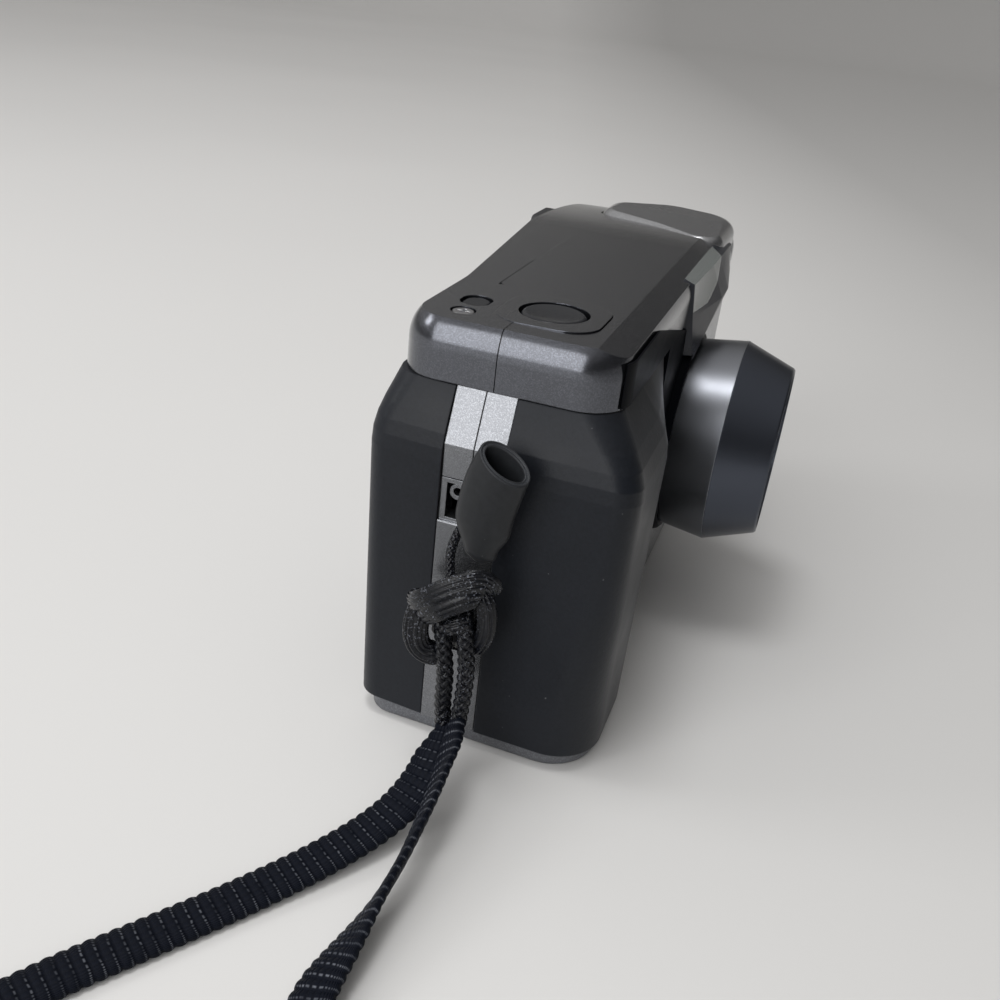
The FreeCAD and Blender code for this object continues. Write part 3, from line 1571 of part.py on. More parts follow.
def strap_sleeve():
    """The hollow rubber sleeve above the knot, open at its upper end."""
    foot = Vector(*sleeve_foot)
    mouth = Vector(*sleeve_mouth)
    along = (mouth - foot).normalize()
    side = along.cross(Vector(1, 0, 0)).normalize()
    flat = side.cross(along).normalize()

    def oval(centre, half_wide, half_flat):
        ellipse = Part.Ellipse(Vector(0, 0, 0), half_wide, half_flat)
        shape = ellipse.toShape()
        matrix = FreeCAD.Matrix(
            side.x, flat.x, along.x, centre.x,
            side.y, flat.y, along.y, centre.y,
            side.z, flat.z, along.z, centre.z,
            0, 0, 0, 1)
        shape.transformShape(matrix)
        return Part.Wire(shape)

    length = (mouth - foot).Length
    middle = foot + along * (length * 0.4)
    outer = Part.makeLoft([oval(foot, 2.2, 1.6), oval(middle, 3.4, 2.2), oval(mouth, 4.4, 2.7)], True, False)
    start = foot + along * 2.5
    inner = Part.makeLoft([
        oval(start, 1.5, 1.0),
        oval(middle, 2.5, 1.3),
        oval(mouth + along * 0.01, 3.6, 1.9),
    ], True, False)
    return largest(outer.cut(inner))


def export(name, shape):
    """One file for each node."""
    if not shape.isValid():
        print("not valid:", name)
    if shape.Volume <= 0:
        print("no volume:", name)
    shape.exportStep("parts/" + name + ".step")


def base_with_stud():
    """The base plate with the idler's stud standing on it."""
    return one(base_plate().fuse(idler_stud()))


nodes = {
    "front_cover": front_cover,
    "back_door": back_door,
    "base_plate": base_with_stud,
    "top_cover_front": top_cover_front,
    "top_cover_rear": top_cover_rear,
    "front_grip": front_grip,
    "rear_grip": rear_grip,
    "window_housing": window_housing,
    "front_window": front_window,
    "flash_housing": flash_housing,
    "flash_window": flash_window,
    "flash_reflector": flash_reflector,
    "flash_tube": flash_tube,
    "flash_capacitor": flash_capacitor,
    "eyepiece_frame": eyepiece_frame,
    "eyepiece_lens": eyepiece_lens,
    "viewfinder_block": viewfinder_block,
    "af_module": af_module,
    "lens_shroud": lens_shroud,
    "lens_band": lens_band,
    "lens_bezel": lens_bezel,
    "lens_housing": lens_housing,
    "cam_ring": cam_ring,
    "zoom_barrel": zoom_barrel,
    "inner_barrel": inner_barrel,
    "barrier_blade_left": lambda: barrier_blade(-1),
    "barrier_blade_right": lambda: barrier_blade(1),
    "front_lens": front_lens,
    "rear_lens": rear_lens,
    "shutter_unit": shutter_unit,
    "zoom_motor": zoom_motor,
    "main_frame": main_frame,
    "take_up_spool": take_up_spool,
    "wind_motor": wind_motor,
    "wind_pinion": wind_pinion,
    "wind_idler": wind_idler,
    "rewind_fork": rewind_fork,
    "film_roller": film_roller,
    "pressure_plate": pressure_plate,
    "plate_spring": plate_spring,
    "hinge_pin": hinge_pin,
    "door_latch": door_latch,
    "battery": battery,
    "battery_door": battery_door,
    "battery_contacts": battery_contacts,
    "circuit_board": circuit_board,
    "shutter_button": shutter_button,
    "shutter_collar": shutter_collar,
    "mode_button": mode_button,
    "zoom_rocker": zoom_rocker,
    "tripod_socket": tripod_socket,
    "strap_lug": strap_lug,
    "film_window": film_window,
    "lcd_window": lcd_window,
    "case_screws": case_screws,
    "strap_cord": strap_cord,
    "strap_sleeve": strap_sleeve,
    "strap_knot": strap_knot,
    "strap_strands": strap_strands,
    "strap_webbing": strap_webbing,
}

os.makedirs("parts", exist_ok=True)
for node_name, make in nodes.items():
    export(node_name, make())
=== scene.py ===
"""Dresses the compact film camera for a studio picture.

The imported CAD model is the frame. This script gives every CAD node its finish, models the wrist strap's
woven, braided and rubber pieces over their plain solids, and sets up the floor, the lamps and the camera.
Lengths are in metres in the row frame: +Z up, the lens towards -Y, the grip end at negative X.
"""

import logging
import math
from dataclasses import dataclass, field
from enum import Enum
from typing import Callable

import bmesh
import bpy
from mathutils import Matrix, Vector

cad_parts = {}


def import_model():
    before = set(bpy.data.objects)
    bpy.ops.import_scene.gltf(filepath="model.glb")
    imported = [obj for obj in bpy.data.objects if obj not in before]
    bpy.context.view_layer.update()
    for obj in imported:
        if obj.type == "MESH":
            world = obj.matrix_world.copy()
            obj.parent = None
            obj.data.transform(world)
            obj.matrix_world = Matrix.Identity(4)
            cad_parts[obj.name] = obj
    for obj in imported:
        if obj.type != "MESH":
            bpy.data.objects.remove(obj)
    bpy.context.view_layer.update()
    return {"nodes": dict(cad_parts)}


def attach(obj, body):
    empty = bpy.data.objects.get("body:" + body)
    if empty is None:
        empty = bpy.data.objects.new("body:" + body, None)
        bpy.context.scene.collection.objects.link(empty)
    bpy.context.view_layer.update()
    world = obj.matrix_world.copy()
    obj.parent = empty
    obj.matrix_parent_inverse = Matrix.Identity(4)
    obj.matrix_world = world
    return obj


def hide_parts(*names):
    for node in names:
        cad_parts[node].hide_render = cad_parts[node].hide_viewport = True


log = logging.getLogger("film_camera")

MM = 0.001
UP = Vector((0, 0, 1))
TINY = 1e-12
POINTS_PER_STEP = 24

Colour = tuple[float, float, float]
Point = tuple[float, float, float]
Spread = tuple[float, float]
Keys = tuple[Spread, ...]
Route = tuple[Point, ...]
Placing = Callable[[float, float], Vector]
Socket = bpy.types.NodeSocket


class Body(Enum):
    """The bodies that new pieces ride on."""

    CAMERA = "camera"


class Slot(Enum):
    """The record's material slots of the new pieces; the script passes them along but doesn't use them."""

    CORD = "cord_black"
    WEBBING = "webbing_black"
    SLEEVE = "sleeve_rubber"


# Materials


class Graph:
    """The nodes of one material or sky, with short calls for what the finishes need."""

    noise_roughness = 0.55
    bevel_samples = 4
    edge_cosines = (0.8, 0.995)

    def __init__(self, owner: bpy.types.ID, shader: str = "Principled BSDF") -> None:
        """Starts with the owner's shader alone.

        Args:
            owner: the material or world that the nodes belong to.
            shader: the name of its shader.
        """
        owner.use_nodes = True
        self.tree = owner.node_tree
        self.shader = self.tree.nodes[shader]

    def add(
        self, kind: str, sockets: dict[str | int, object] | None = None, **settings: object
    ) -> bpy.types.Node:
        """Adds a node.

        Args:
            kind: the node's type without its ShaderNode prefix.
            sockets: what goes into its inputs, by name or number: a value, or another node's output.
            settings: the node's own properties.

        Returns:
            The node.
        """
        node = self.tree.nodes.new("ShaderNode" + kind)
        for name, value in settings.items():
            setattr(node, name, value)
        for name, value in (sockets or {}).items():
            self.feed(node, name, value)
        return node

    def feed(self, node: bpy.types.Node, name: str | int, value: object) -> None:
        """Fills one input of a node.

        Args:
            node: the node.
            name: the input's name or number.
            value: a value, or another node's output.
        """
        if isinstance(value, Socket):
            self.tree.links.new(value, node.inputs[name])
        else:
            node.inputs[name].default_value = value

    def surface(self, base: Socket, rough: object, normal: Socket, **sockets: object) -> None:
        """Feeds the shader.

        Args:
            base: the colour.
            rough: the roughness, as a number or another node's output.
            normal: the bent normal.
            sockets: what goes into its other inputs, by their names with _ for a space.
        """
        sockets = {"Base_Color": base, "Roughness": rough, "Normal": normal, **sockets}
        for name, value in sockets.items():
            self.feed(self.shader, name.replace("_", " "), value)

    def place(self, centre: Point = (0, 0, 0), scale: Point = (1, 1, 1)) -> Socket:
        """Object coordinates, moved and stretched.

        Args:
            centre: the point that they are measured from.
            scale: what they are multiplied by.

        Returns:
            The coordinates.
        """
        source = self.add("TexCoord").outputs["Object"]
        moved = self.add("VectorMath", {0: source, 1: centre}, operation="SUBTRACT").outputs[0]
        return self.add("VectorMath", {0: moved, 1: scale}, operation="MULTIPLY").outputs[0]

    def noise(self, size_mm: float, detail: float = 3.0, at: Socket | None = None) -> Socket:
        """Noise from 0 to 1.

        Args:
            size_mm: about how wide its blotches are.
            detail: how many finer layers it has.
            at: the coordinates that it reads, or None for plain Object coordinates.

        Returns:
            The noise's value.
        """
        sockets = {
            "Vector": at or self.place(),
            "Scale": 0.5 / (size_mm * MM),
            "Detail": detail,
            "Roughness": self.noise_roughness,
        }
        return self.add("TexNoise", sockets).outputs[0]

    def cells(self, size_mm: float) -> Socket:
        """A random value for each cell of a crystal pattern.

        Args:
            size_mm: about how wide a cell is.

        Returns:
            The value.
        """
        sockets = {"Vector": self.place(), "Scale": 1 / (size_mm * MM)}
        colour = self.add("TexVoronoi", sockets).outputs["Color"]
        return self.add("SeparateColor", {0: colour}).outputs[0]

    def span(
        self, value: Socket, low: float, high: float, start: float = 0.3, end: float = 0.7
    ) -> Socket:
        """Maps a value from start..end onto low..high, and clamps it there."""
        sockets = {"Value": value, 1: start, 2: end, 3: low, 4: high}
        return self.add("MapRange", sockets).outputs[0]

    def math(self, operation: str, a: object, b: object = 0.0, c: object = 0.0) -> Socket:
        """One step of arithmetic on values."""
        return self.add("Math", {0: a, 1: b, 2: c}, operation=operation).outputs[0]

    def blend(self, factor: object, a: object, b: object) -> Socket:
        """A colour from a to b by factor."""
        sockets = {0: factor, 6: rgba(a), 7: rgba(b)}
        return self.add("Mix", sockets, data_type="RGBA").outputs[2]

    def bump(
        self, height: Socket, depth_mm: float, normal: Socket | None = None, strength: float = 1.0
    ) -> Socket:
        """Bends a normal by a height.

        Args:
            height: the height, from 0 to 1.
            depth_mm: how high a 1 stands.
            normal: the normal below it, or None for the surface's own.
            strength: how much of it shows.

        Returns:
            The bent normal.
        """
        sockets = {"Height": height, "Distance": depth_mm * MM, "Strength": strength}
        if normal is not None:
            sockets["Normal"] = normal
        return self.add("Bump", sockets).outputs[0]

    def rounded(self, radius_mm: float) -> Socket:
        """A normal that softens edges to radius_mm."""
        return self.add("Bevel", {"Radius": radius_mm * MM}, samples=self.bevel_samples).outputs[0]

    def edge_mask(self, radius_mm: float) -> Socket:
        """A mask for worn edges and for edges lightened as a painted highlight.

        Args:
            radius_mm: how far it reaches from an edge.

        Returns:
            1 along edges, falling to 0 on flat ground.
        """
        bent = self.rounded(radius_mm)
        flat = self.add("NewGeometry").outputs["Normal"]
        cosine = self.add("VectorMath", {0: bent, 1: flat}, operation="DOT_PRODUCT").outputs["Value"]
        return self.span(cosine, 1.0, 0.0, *self.edge_cosines)


def rgba(value: object) -> object:
    """A colour with its fourth number, or the socket that was given."""
    return (*value, 1.0) if isinstance(value, tuple) and len(value) == 3 else value


def shade(colour: Colour, factor: float) -> Colour:
    """A colour made darker or lighter by a factor."""
    return tuple(min(1.0, c * factor) for c in colour)


@dataclass(frozen=True)
class Finish:
    """What every finish has: a name, a colour and a roughness."""

    name: str
    colour: Colour
    roughness: float = 0.5

    def material(self) -> bpy.types.Material:
        """Makes the finish's material once, to be shared by the pieces that wear it.

        Returns:
            The material.
        """
        made = bpy.data.materials.get(self.name)
        if made is None:
            made = bpy.data.materials.new(self.name)
            self.lay(Graph(made))
        return made

    def lay(self, graph: Graph) -> None:
        """Lays the finish's nodes; each kind of finish has its own."""
        raise NotImplementedError

    def varied(self, graph: Graph, value: Socket, tones: Spread) -> Socket:
        """The colour from tones[0] to tones[1] times its strength, as a noise varies."""
        dark, light = (shade(self.colour, tone) for tone in tones)
        return graph.blend(graph.span(value, 0, 1), dark, light)

    def over(self, graph: Graph, mask: Socket, base: Socket, gain: float) -> Socket:
        """The base, turned to gain times the colour where the mask is 1."""
        return graph.blend(mask, base, shade(self.colour, gain))

    def rough(self, graph: Graph, value: Socket, spread: Spread) -> Socket:
        """Roughness from spread[0] under the finish's own to spread[1] over it, as a noise varies."""
        return graph.span(value, self.roughness - spread[0], self.roughness + spread[1])

    def wear_on(self, piece: bpy.types.Object) -> None:
        """Gives the material to every slot of a piece.

        Args:
            piece: the piece, whose mesh may have no slots yet.
        """
        slots = piece.data.materials
        if not slots:
            slots.append(self.material())
        for index in range(len(slots)):
            slots[index] = self.material()


@dataclass(frozen=True)
class Paint(Finish):
    """Satin metallic paint: fine flakes, a soft drift of tone, faint orange peel and rubbed edges."""

    metallic: float = 0.6
    flake_mm: float = 0.17
    flake_gain: float = 1.5
    flake_tilt: float = 0.4
    flake_depth_mm: float = 0.012
    flake_gloss: float = 0.04
    flake_threshold: float = 0.45
    drift: float = 0.12
    drift_mm: float = 9.0
    edge_gain: float = 1.3
    edge_mm: float = 0.14
    rub_mm: float = 1.5
    rub_reach: float = 1.4
    rub_share: Spread = (0.2, 0.8)
    gloss_mm: float = 4.0
    gloss: Spread = (0.015, 0.015)
    peel_mm: float = 3.0
    peel_depth_mm: float = 0.0015
    coat: float = 0.15
    coat_roughness: float = 0.16

    def lay(self, graph: Graph) -> None:
        """Lays the flakes, the drift of tone, the orange peel and the rubbed edges.

        Args:
            graph: the nodes of its material.
        """
        base = self.varied(graph, graph.noise(self.drift_mm, detail=2.0), (1 - self.drift, 1 + self.drift))
        flake = graph.cells(self.flake_mm)
        sparkle = graph.span(flake, 0, 1, self.flake_threshold, 1)
        base = self.over(graph, sparkle, base, self.flake_gain)
        patches = graph.span(graph.noise(self.rub_mm), *self.rub_share)
        rubbed = graph.math("MULTIPLY", graph.edge_mask(self.edge_mm * self.rub_reach), patches)
        base = self.over(graph, rubbed, base, self.edge_gain)
        rough = self.rough(graph, graph.noise(self.gloss_mm, detail=2.0), self.gloss)
        rough = graph.math("SUBTRACT", rough, graph.math("MULTIPLY", sparkle, self.flake_gloss))
        peel = graph.noise(self.peel_mm, detail=1.0)
        normal = graph.bump(peel, self.peel_depth_mm, graph.rounded(self.edge_mm))
        normal = graph.bump(flake, self.flake_depth_mm, normal, self.flake_tilt)
        graph.surface(
            base, rough, normal, Metallic=self.metallic, Coat_Weight=self.coat,
            Coat_Roughness=self.coat_roughness,
        )


@dataclass(frozen=True)
class Moulding(Finish):
    """Moulded plastic: a fine spark-eroded grain, faint flow marks and lighter edges, polished by hands and
    on the buttons lightened further as a painted highlight.
    """

    grain_mm: float = 0.25
    grain_depth_mm: float = 0.012
    grain_gain: float = 1.5
    grain_share: float = 0.25
    flow_mm: float = 7.0
    flow_stretch: Point = (1, 1, 2.2)
    drift: float = 0.15
    edge_gain: float = 1.8
    edge_mm: float = 0.2
    edge_reach: float = 1.3
    gloss: Spread = (0.05, 0.07)
    specular: float = 0.5

    def lay(self, graph: Graph) -> None:
        """Lays the grain, the flow marks and the lighter edges: polish, and on the buttons a painted
        highlight.

        Args:
            graph: the nodes of its material.
        """
        flow = graph.noise(self.flow_mm, at=graph.place(scale=self.flow_stretch))
        grain = graph.noise(self.grain_mm, detail=2.0)
        base = self.varied(graph, flow, (1 - self.drift, 1 + self.drift))
        base = self.over(graph, graph.span(grain, 0, self.grain_share), base, self.grain_gain)
        # Lighter edges: polish, and with the buttons' high gain a painted highlight on their rims.
        base = self.over(graph, graph.edge_mask(self.edge_mm * self.edge_reach), base, self.edge_gain)
        normal = graph.bump(grain, self.grain_depth_mm, graph.rounded(self.edge_mm))
        graph.surface(base, self.rough(graph, flow, self.gloss), normal, Specular_IOR_Level=self.specular)


@dataclass(frozen=True)
class Soft(Finish):
    """What rubber, yarn and webbing share: a sheen and weak highlights."""

    sheen: float = 0.01
    sheen_roughness: float = 0.4
    specular: float = 0.3

    def cover(self, graph: Graph, base: Socket, rough: Socket, normal: Socket) -> None:
        """Feeds the shader with a colour, a roughness and a bent normal, and with the sheen.

        Args:
            graph: the nodes of its material.
            base: the colour.
            rough: the roughness.
            normal: the bent normal.
        """
        graph.surface(
            base, rough, normal, Sheen_Weight=self.sheen, Sheen_Roughness=self.sheen_roughness,
            Specular_IOR_Level=self.specular,
        )


@dataclass(frozen=True)
class Rubber(Soft):
    """Matte rubber skin: a fine pebbled grain, palm polish in soft patches, a little lint and a painted
    highlight along the edges.
    """

    grain_mm: float = 0.3
    grain_depth_mm: float = 0.02
    grain_gain: float = 1.7
    grain_share: float = 0.35
    patch_mm: float = 13.0
    tones: Spread = (0.86, 1.16)
    gloss: Spread = (0.16, 0.06)
    lint: Colour = (0.16, 0.16, 0.17)
    lint_mm: float = 0.4
    lint_share: float = 0.5
    lint_range: Spread = (0.79, 0.84)
    edge_mm: float = 0.3
    edge_gain: float = 1.5
    sheen: float = 0.25
    sheen_roughness: float = 0.45
    specular: float = 0.22

    def lay(self, graph: Graph) -> None:
        """Lays the pebbles, the polished patches, the lint and the painted highlight along the edges.

        Args:
            graph: the nodes of its material.
        """
        patch = graph.noise(self.patch_mm)
        pebble = graph.noise(self.grain_mm, detail=1.5)
        base = self.varied(graph, patch, self.tones)
        base = self.over(graph, graph.span(pebble, 0, self.grain_share), base, self.grain_gain)
        specks = graph.span(graph.noise(self.lint_mm, detail=1.0), 0, self.lint_share, *self.lint_range)
        base = graph.blend(specks, base, self.lint)
        # Painted highlight: the colour is lightened along the edges, weakly on the grips and strongly on the
        # sleeve's lips.
        base = self.over(graph, graph.edge_mask(self.edge_mm), base, self.edge_gain)
        normal = graph.bump(pebble, self.grain_depth_mm, graph.rounded(self.edge_mm))
        self.cover(graph, base, self.rough(graph, patch, self.gloss), normal)


@dataclass(frozen=True)
class Turned(Finish):
    """Metal turned on a lathe: very fine rings round a line along Y, and a soft drift of tone."""

    metallic: float = 1.0
    axis_z: float = 0.033
    ring_mm: float = 0.05
    ring_depth_mm: float = 0.0003
    ring_strength: float = 0.4
    face_share: float = 0.1
    gloss_rings: float = 9.0
    gloss: Spread = (0.005, 0.01)
    tones: Spread = (0.98, 1.02)
    drift_mm: float = 6.0
    drift_share: float = 0.3
    drift_gain: float = 0.85
    edge_mm: float = 0.2
    edge_gain: float = 1.3

    def lay(self, graph: Graph) -> None:
        """Lays the rings by the place along the line and, more weakly, the distance from it.

        Args:
            graph: the nodes of its material.
        """
        parts = graph.add("SeparateXYZ", {0: graph.place((0, 0, self.axis_z))})
        across = graph.add("CombineXYZ", {0: parts.outputs[0], 2: parts.outputs[2]}).outputs[0]
        radius = graph.add("VectorMath", {0: across}, operation="LENGTH").outputs["Value"]
        outward = graph.math("MULTIPLY", radius, self.face_share)
        at = graph.add("CombineXYZ", {0: outward, 1: parts.outputs[1]}).outputs[0]
        fine = graph.noise(self.ring_mm, detail=2.0, at=at)
        wide = graph.noise(self.ring_mm * self.gloss_rings, detail=2.0, at=at)
        base = self.varied(graph, fine, self.tones)
        drift = graph.span(graph.noise(self.drift_mm), 0, self.drift_share)
        base = self.over(graph, drift, base, self.drift_gain)
        base = self.over(graph, graph.edge_mask(self.edge_mm), base, self.edge_gain)
        normal = graph.bump(fine, self.ring_depth_mm, graph.rounded(self.edge_mm), self.ring_strength)
        graph.surface(base, self.rough(graph, wide, self.gloss), normal, Metallic=self.metallic)


@dataclass(frozen=True)
class Brushed(Finish):
    """Plain metal brushed one way, with soft stains."""

    stretch: Point = (1, 1, 0.04)
    line_mm: float = 0.05
    depth_mm: float = 0.006
    tones: Spread = (0.82, 1.18)
    stain_mm: float = 3.0
    stain_share: float = 0.35
    stain_gain: float = 0.62
    gloss: Spread = (0.06, 0.12)
    edge_mm: float = 0.12

    def lay(self, graph: Graph) -> None:
        """Lays the brushing and the stains.

        Args:
            graph: the nodes of its material.
        """
        lines = graph.noise(self.line_mm, at=graph.place(scale=self.stretch))
        stain = graph.noise(self.stain_mm, detail=4.0)
        base = self.varied(graph, lines, self.tones)
        base = self.over(graph, graph.span(stain, 0, self.stain_share), base, self.stain_gain)
        normal = graph.bump(lines, self.depth_mm, graph.rounded(self.edge_mm))
        graph.surface(base, self.rough(graph, stain, self.gloss), normal, Metallic=1.0)


@dataclass(frozen=True)
class Glass(Finish):
    """Clear or tinted glass with a film of dust and wiping marks."""

    roughness: float = 0.04
    transmission: float = 0.9
    ior: float = 1.49
    coat: float = 0.3
    coat_roughness: float = 0.03
    haze: Colour = (0.5, 0.51, 0.5)
    haze_share: float = 0.5
    dust_mm: float = 0.35
    dust_share: float = 0.5
    dust_range: Spread = (0.66, 0.78)
    wipe_mm: float = 2.5
    wipe_stretch: Point = (1, 1, 0.35)
    wipe_depth_mm: float = 0.004
    gloss: Spread = (0.0, 0.09)
    edge_mm: float = 0.15

    def lay(self, graph: Graph) -> None:
        """Lays the wiping marks and the dust.

        Args:
            graph: the nodes of its material.
        """
        wipes = graph.noise(self.wipe_mm, detail=4.0, at=graph.place(scale=self.wipe_stretch))
        dust = graph.span(graph.noise(self.dust_mm, detail=1.5), 0, self.dust_share, *self.dust_range)
        base = graph.blend(graph.math("MULTIPLY", dust, self.haze_share), self.colour, self.haze)
        normal = graph.bump(wipes, self.wipe_depth_mm, graph.rounded(self.edge_mm))
        graph.surface(
            base, self.rough(graph, wipes, self.gloss), normal, Transmission_Weight=self.transmission,
            IOR=self.ior, Coat_Weight=self.coat, Coat_Roughness=self.coat_roughness,
        )


@dataclass(frozen=True)
class Wrapped(Finish):
    """A shrink wrap or a lacquered board, glossy over a soft mottle."""

    second: Colour = (0.1, 0.1, 0.1)
    mottle_mm: float = 1.2
    mottle_depth_mm: float = 0.02
    gloss: Spread = (0.06, 0.08)
    edge_mm: float = 0.15
    coat: float = 0.5
    coat_roughness: float = 0.15

    def lay(self, graph: Graph) -> None:
        """Lays the mottle and the gloss.

        Args:
            graph: the nodes of its material.
        """
        mottle = graph.noise(self.mottle_mm, detail=4.0)
        base = graph.blend(graph.span(mottle, 0, 1), self.colour, self.second)
        normal = graph.bump(mottle, self.mottle_depth_mm, graph.rounded(self.edge_mm))
        graph.surface(
            base, self.rough(graph, mottle, self.gloss), normal, Coat_Weight=self.coat,
            Coat_Roughness=self.coat_roughness,
        )


@dataclass(frozen=True)
class Yarn(Soft):
    """Twisted filament yarn: the UV map runs along the yarn in u and round it in v, in metres."""

    pale: Colour = (0.26, 0.28, 0.33)
    filament_mm: float = 0.07
    filament_stretch: float = 0.12
    filament_depth_mm: float = 0.05
    filament_range: Spread = (0.35, 0.65)
    tones: Spread = (0.5, 1.8)
    glint_spot_mm: float = 0.17
    glint_spot_range: Spread = (0.6, 0.68)
    twist: float = 0.5
    glint: float = 0.45
    dull_share: float = 0.1
    lustre_mm: float = 2.2
    lustre_range: Spread = (0.4, 0.6)
    gloss: float = 0.12
    sheen: float = 0.03

    def lay(self, graph: Graph) -> None:
        """Lays the filaments and their painted glints.

        Args:
            graph: the nodes of its material.
        """
        along = graph.add("SeparateXYZ", {0: graph.add("UVMap").outputs[0]})
        slant = graph.math("MULTIPLY_ADD", along.outputs[0], self.twist, along.outputs[1])
        stretched = graph.math("MULTIPLY", along.outputs[0], self.filament_stretch)
        at = graph.add("CombineXYZ", {0: stretched, 1: slant}).outputs[0]
        filament = graph.noise(self.filament_mm, detail=2.0, at=at)
        lustre = graph.noise(self.lustre_mm, detail=2.0)
        glint_spot = graph.span(graph.noise(self.glint_spot_mm, detail=1.0), 0, 1, *self.glint_spot_range)
        dark, light = (shade(self.colour, tone) for tone in self.tones)
        base = graph.blend(graph.span(filament, 0, 1, *self.filament_range), dark, light)
        # Painted glints: pale spots, stronger where the lustre is, blended into the colour.
        shine = graph.span(lustre, self.dull_share * self.glint, self.glint, *self.lustre_range)
        base = graph.blend(graph.math("MULTIPLY", glint_spot, shine), base, self.pale)
        rough = graph.span(lustre, self.roughness + self.gloss, self.roughness - self.gloss)
        self.cover(graph, base, rough, graph.bump(filament, self.filament_depth_mm))


@dataclass(frozen=True)
class Weave(Soft):
    """Ribbed webbing: yarns cross each rib, with a dotted line of painted glints where they turn down beside
    it and painted shade between the yarns.
    """

    pale: Colour = (0.22, 0.235, 0.27)
    rib_mm: float = 1.6
    wander: float = 0.06
    wander_mm: float = 1.1
    line_place: float = 0.27
    line_range: Spread = (0.03, 0.11)
    glint_dot_range: Spread = (0.45, 0.85)
    lustre_mm: float = 1.4
    lustre_range: Spread = (0.38, 0.62)
    dull_share: float = 0.15
    yarn_mm: float = 0.46
    yarn_shade: float = 0.35
    yarn_height: float = 0.7
    fuzz_mm: float = 0.12
    tones: Spread = (0.6, 1.5)
    gloss: Spread = (0.1, 0.1)
    depth_mm: float = 0.09
    glint: float = 0.55
    specular: float = 0.07

    def lay(self, graph: Graph) -> None:
        """Lays the crossing yarns with painted shade between them, the dotted lines of painted glints beside
        the ribs and the fuzz.

        Args:
            graph: the nodes of its material.
        """
        uv = graph.add("SeparateXYZ", {0: graph.add("UVMap").outputs[0]})
        reach = self.wander * self.rib_mm * MM
        wander = graph.span(graph.noise(self.wander_mm, detail=2.0), -reach, reach)
        along = graph.math("ADD", uv.outputs[0], wander)
        rib = graph.math("FRACT", graph.math("DIVIDE", along, self.rib_mm * MM))
        across = graph.math("DIVIDE", uv.outputs[1], self.yarn_mm * MM)
        yarn = graph.math("ABSOLUTE", graph.math("SINE", graph.math("MULTIPLY", across, math.pi)))
        beside = graph.math("ABSOLUTE", graph.math("SUBTRACT", rib, self.line_place))
        line = graph.span(beside, 1, 0, *self.line_range)
        glint_dots = graph.math("MULTIPLY", line, graph.span(yarn, 0, 1, *self.glint_dot_range))
        lustre = graph.span(graph.noise(self.lustre_mm), self.dull_share, 1, *self.lustre_range)
        fuzz = graph.noise(self.fuzz_mm, detail=2.0)
        base = self.varied(graph, fuzz, self.tones)
        # Painted shade: darker in the grooves between the yarns, a little lighter on their crowns.
        shaded = graph.math("MULTIPLY", yarn, self.yarn_shade)
        base = graph.blend(shaded, shade(self.colour, self.tones[0]), base)
        # Painted glints: pale dots in the lines beside the ribs, stronger where the lustre is.
        shine = graph.math("MULTIPLY", graph.math("MULTIPLY", glint_dots, lustre), self.glint)
        base = graph.blend(shine, base, self.pale)
        crowns = graph.math("MULTIPLY", yarn, self.yarn_height)
        height = graph.math("ADD", crowns, graph.math("MULTIPLY", fuzz, 1 - self.yarn_height))
        rough = self.rough(graph, fuzz, self.gloss)
        self.cover(graph, base, rough, graph.bump(height, self.depth_mm))


@dataclass(frozen=True)
class Paper(Finish):
    """The seamless pale paper that the camera stands on, with painted shade that greys it away from the
    window.
    """

    painted_far_shade: float = 0.72
    painted_shade_reach: float = 0.25
    painted_shade_along: Point = (0.3, -1, 1)
    drift_mm: float = 160.0
    tones: Spread = (0.985, 1.015)
    tooth_mm: float = 0.6
    tooth_depth_mm: float = 0.01
    specular: float = 0.2

    def lay(self, graph: Graph) -> None:
        """Lays a faint drift of tone, the painted shade on the far side and the tooth.

        Args:
            graph: the nodes of its material.
        """
        near = self.varied(graph, graph.noise(self.drift_mm, detail=2.0), self.tones)
        # Painted shade: the paper is darkened towards the far side, away from the window.
        across = graph.add("SeparateXYZ", {0: graph.place(scale=self.painted_shade_along)})
        away = graph.math("ADD", across.outputs[0], across.outputs[1])
        base = self.over(graph, graph.span(away, 0, 1, 0, self.painted_shade_reach), near, self.painted_far_shade)
        tooth = graph.bump(graph.noise(self.tooth_mm), self.tooth_depth_mm)
        graph.surface(base, self.roughness, tooth, Specular_IOR_Level=self.specular)


# Finishes of the CAD nodes


PLATE = Paint(
    "plate_paint", (0.074, 0.078, 0.091), 0.2, metallic=0.92, flake_mm=0.15, flake_tilt=0.3, drift=0.03,
    coat=0.7,
)
SHELL = Paint("shell_paint", (0.17, 0.175, 0.187), 0.26, metallic=0.9, flake_mm=0.12, drift=0.04, coat=0.2)
BASE = Paint("base_paint", (0.13, 0.135, 0.148), 0.4)
# The flash housing's paint is paler than the top cover's: a painted highlight on the hump.
HUMP_PAINTED_HIGHLIGHT = Paint("hump_paint_painted_highlight", (0.3, 0.304, 0.315), 0.26, metallic=0.92, flake_mm=0.15, drift=0.03, coat=0.8)
PROW = Moulding("prow_plastic", (0.015, 0.017, 0.024), 0.3, grain_depth_mm=0.002, specular=0.35)
TRIM = Moulding("trim_plastic", (0.0025, 0.003, 0.0045), 0.45, grain_depth_mm=0.002, specular=0.03)
GRIP = Rubber("grip_skin", (0.0075, 0.009, 0.0125), 0.46, sheen=0.05)
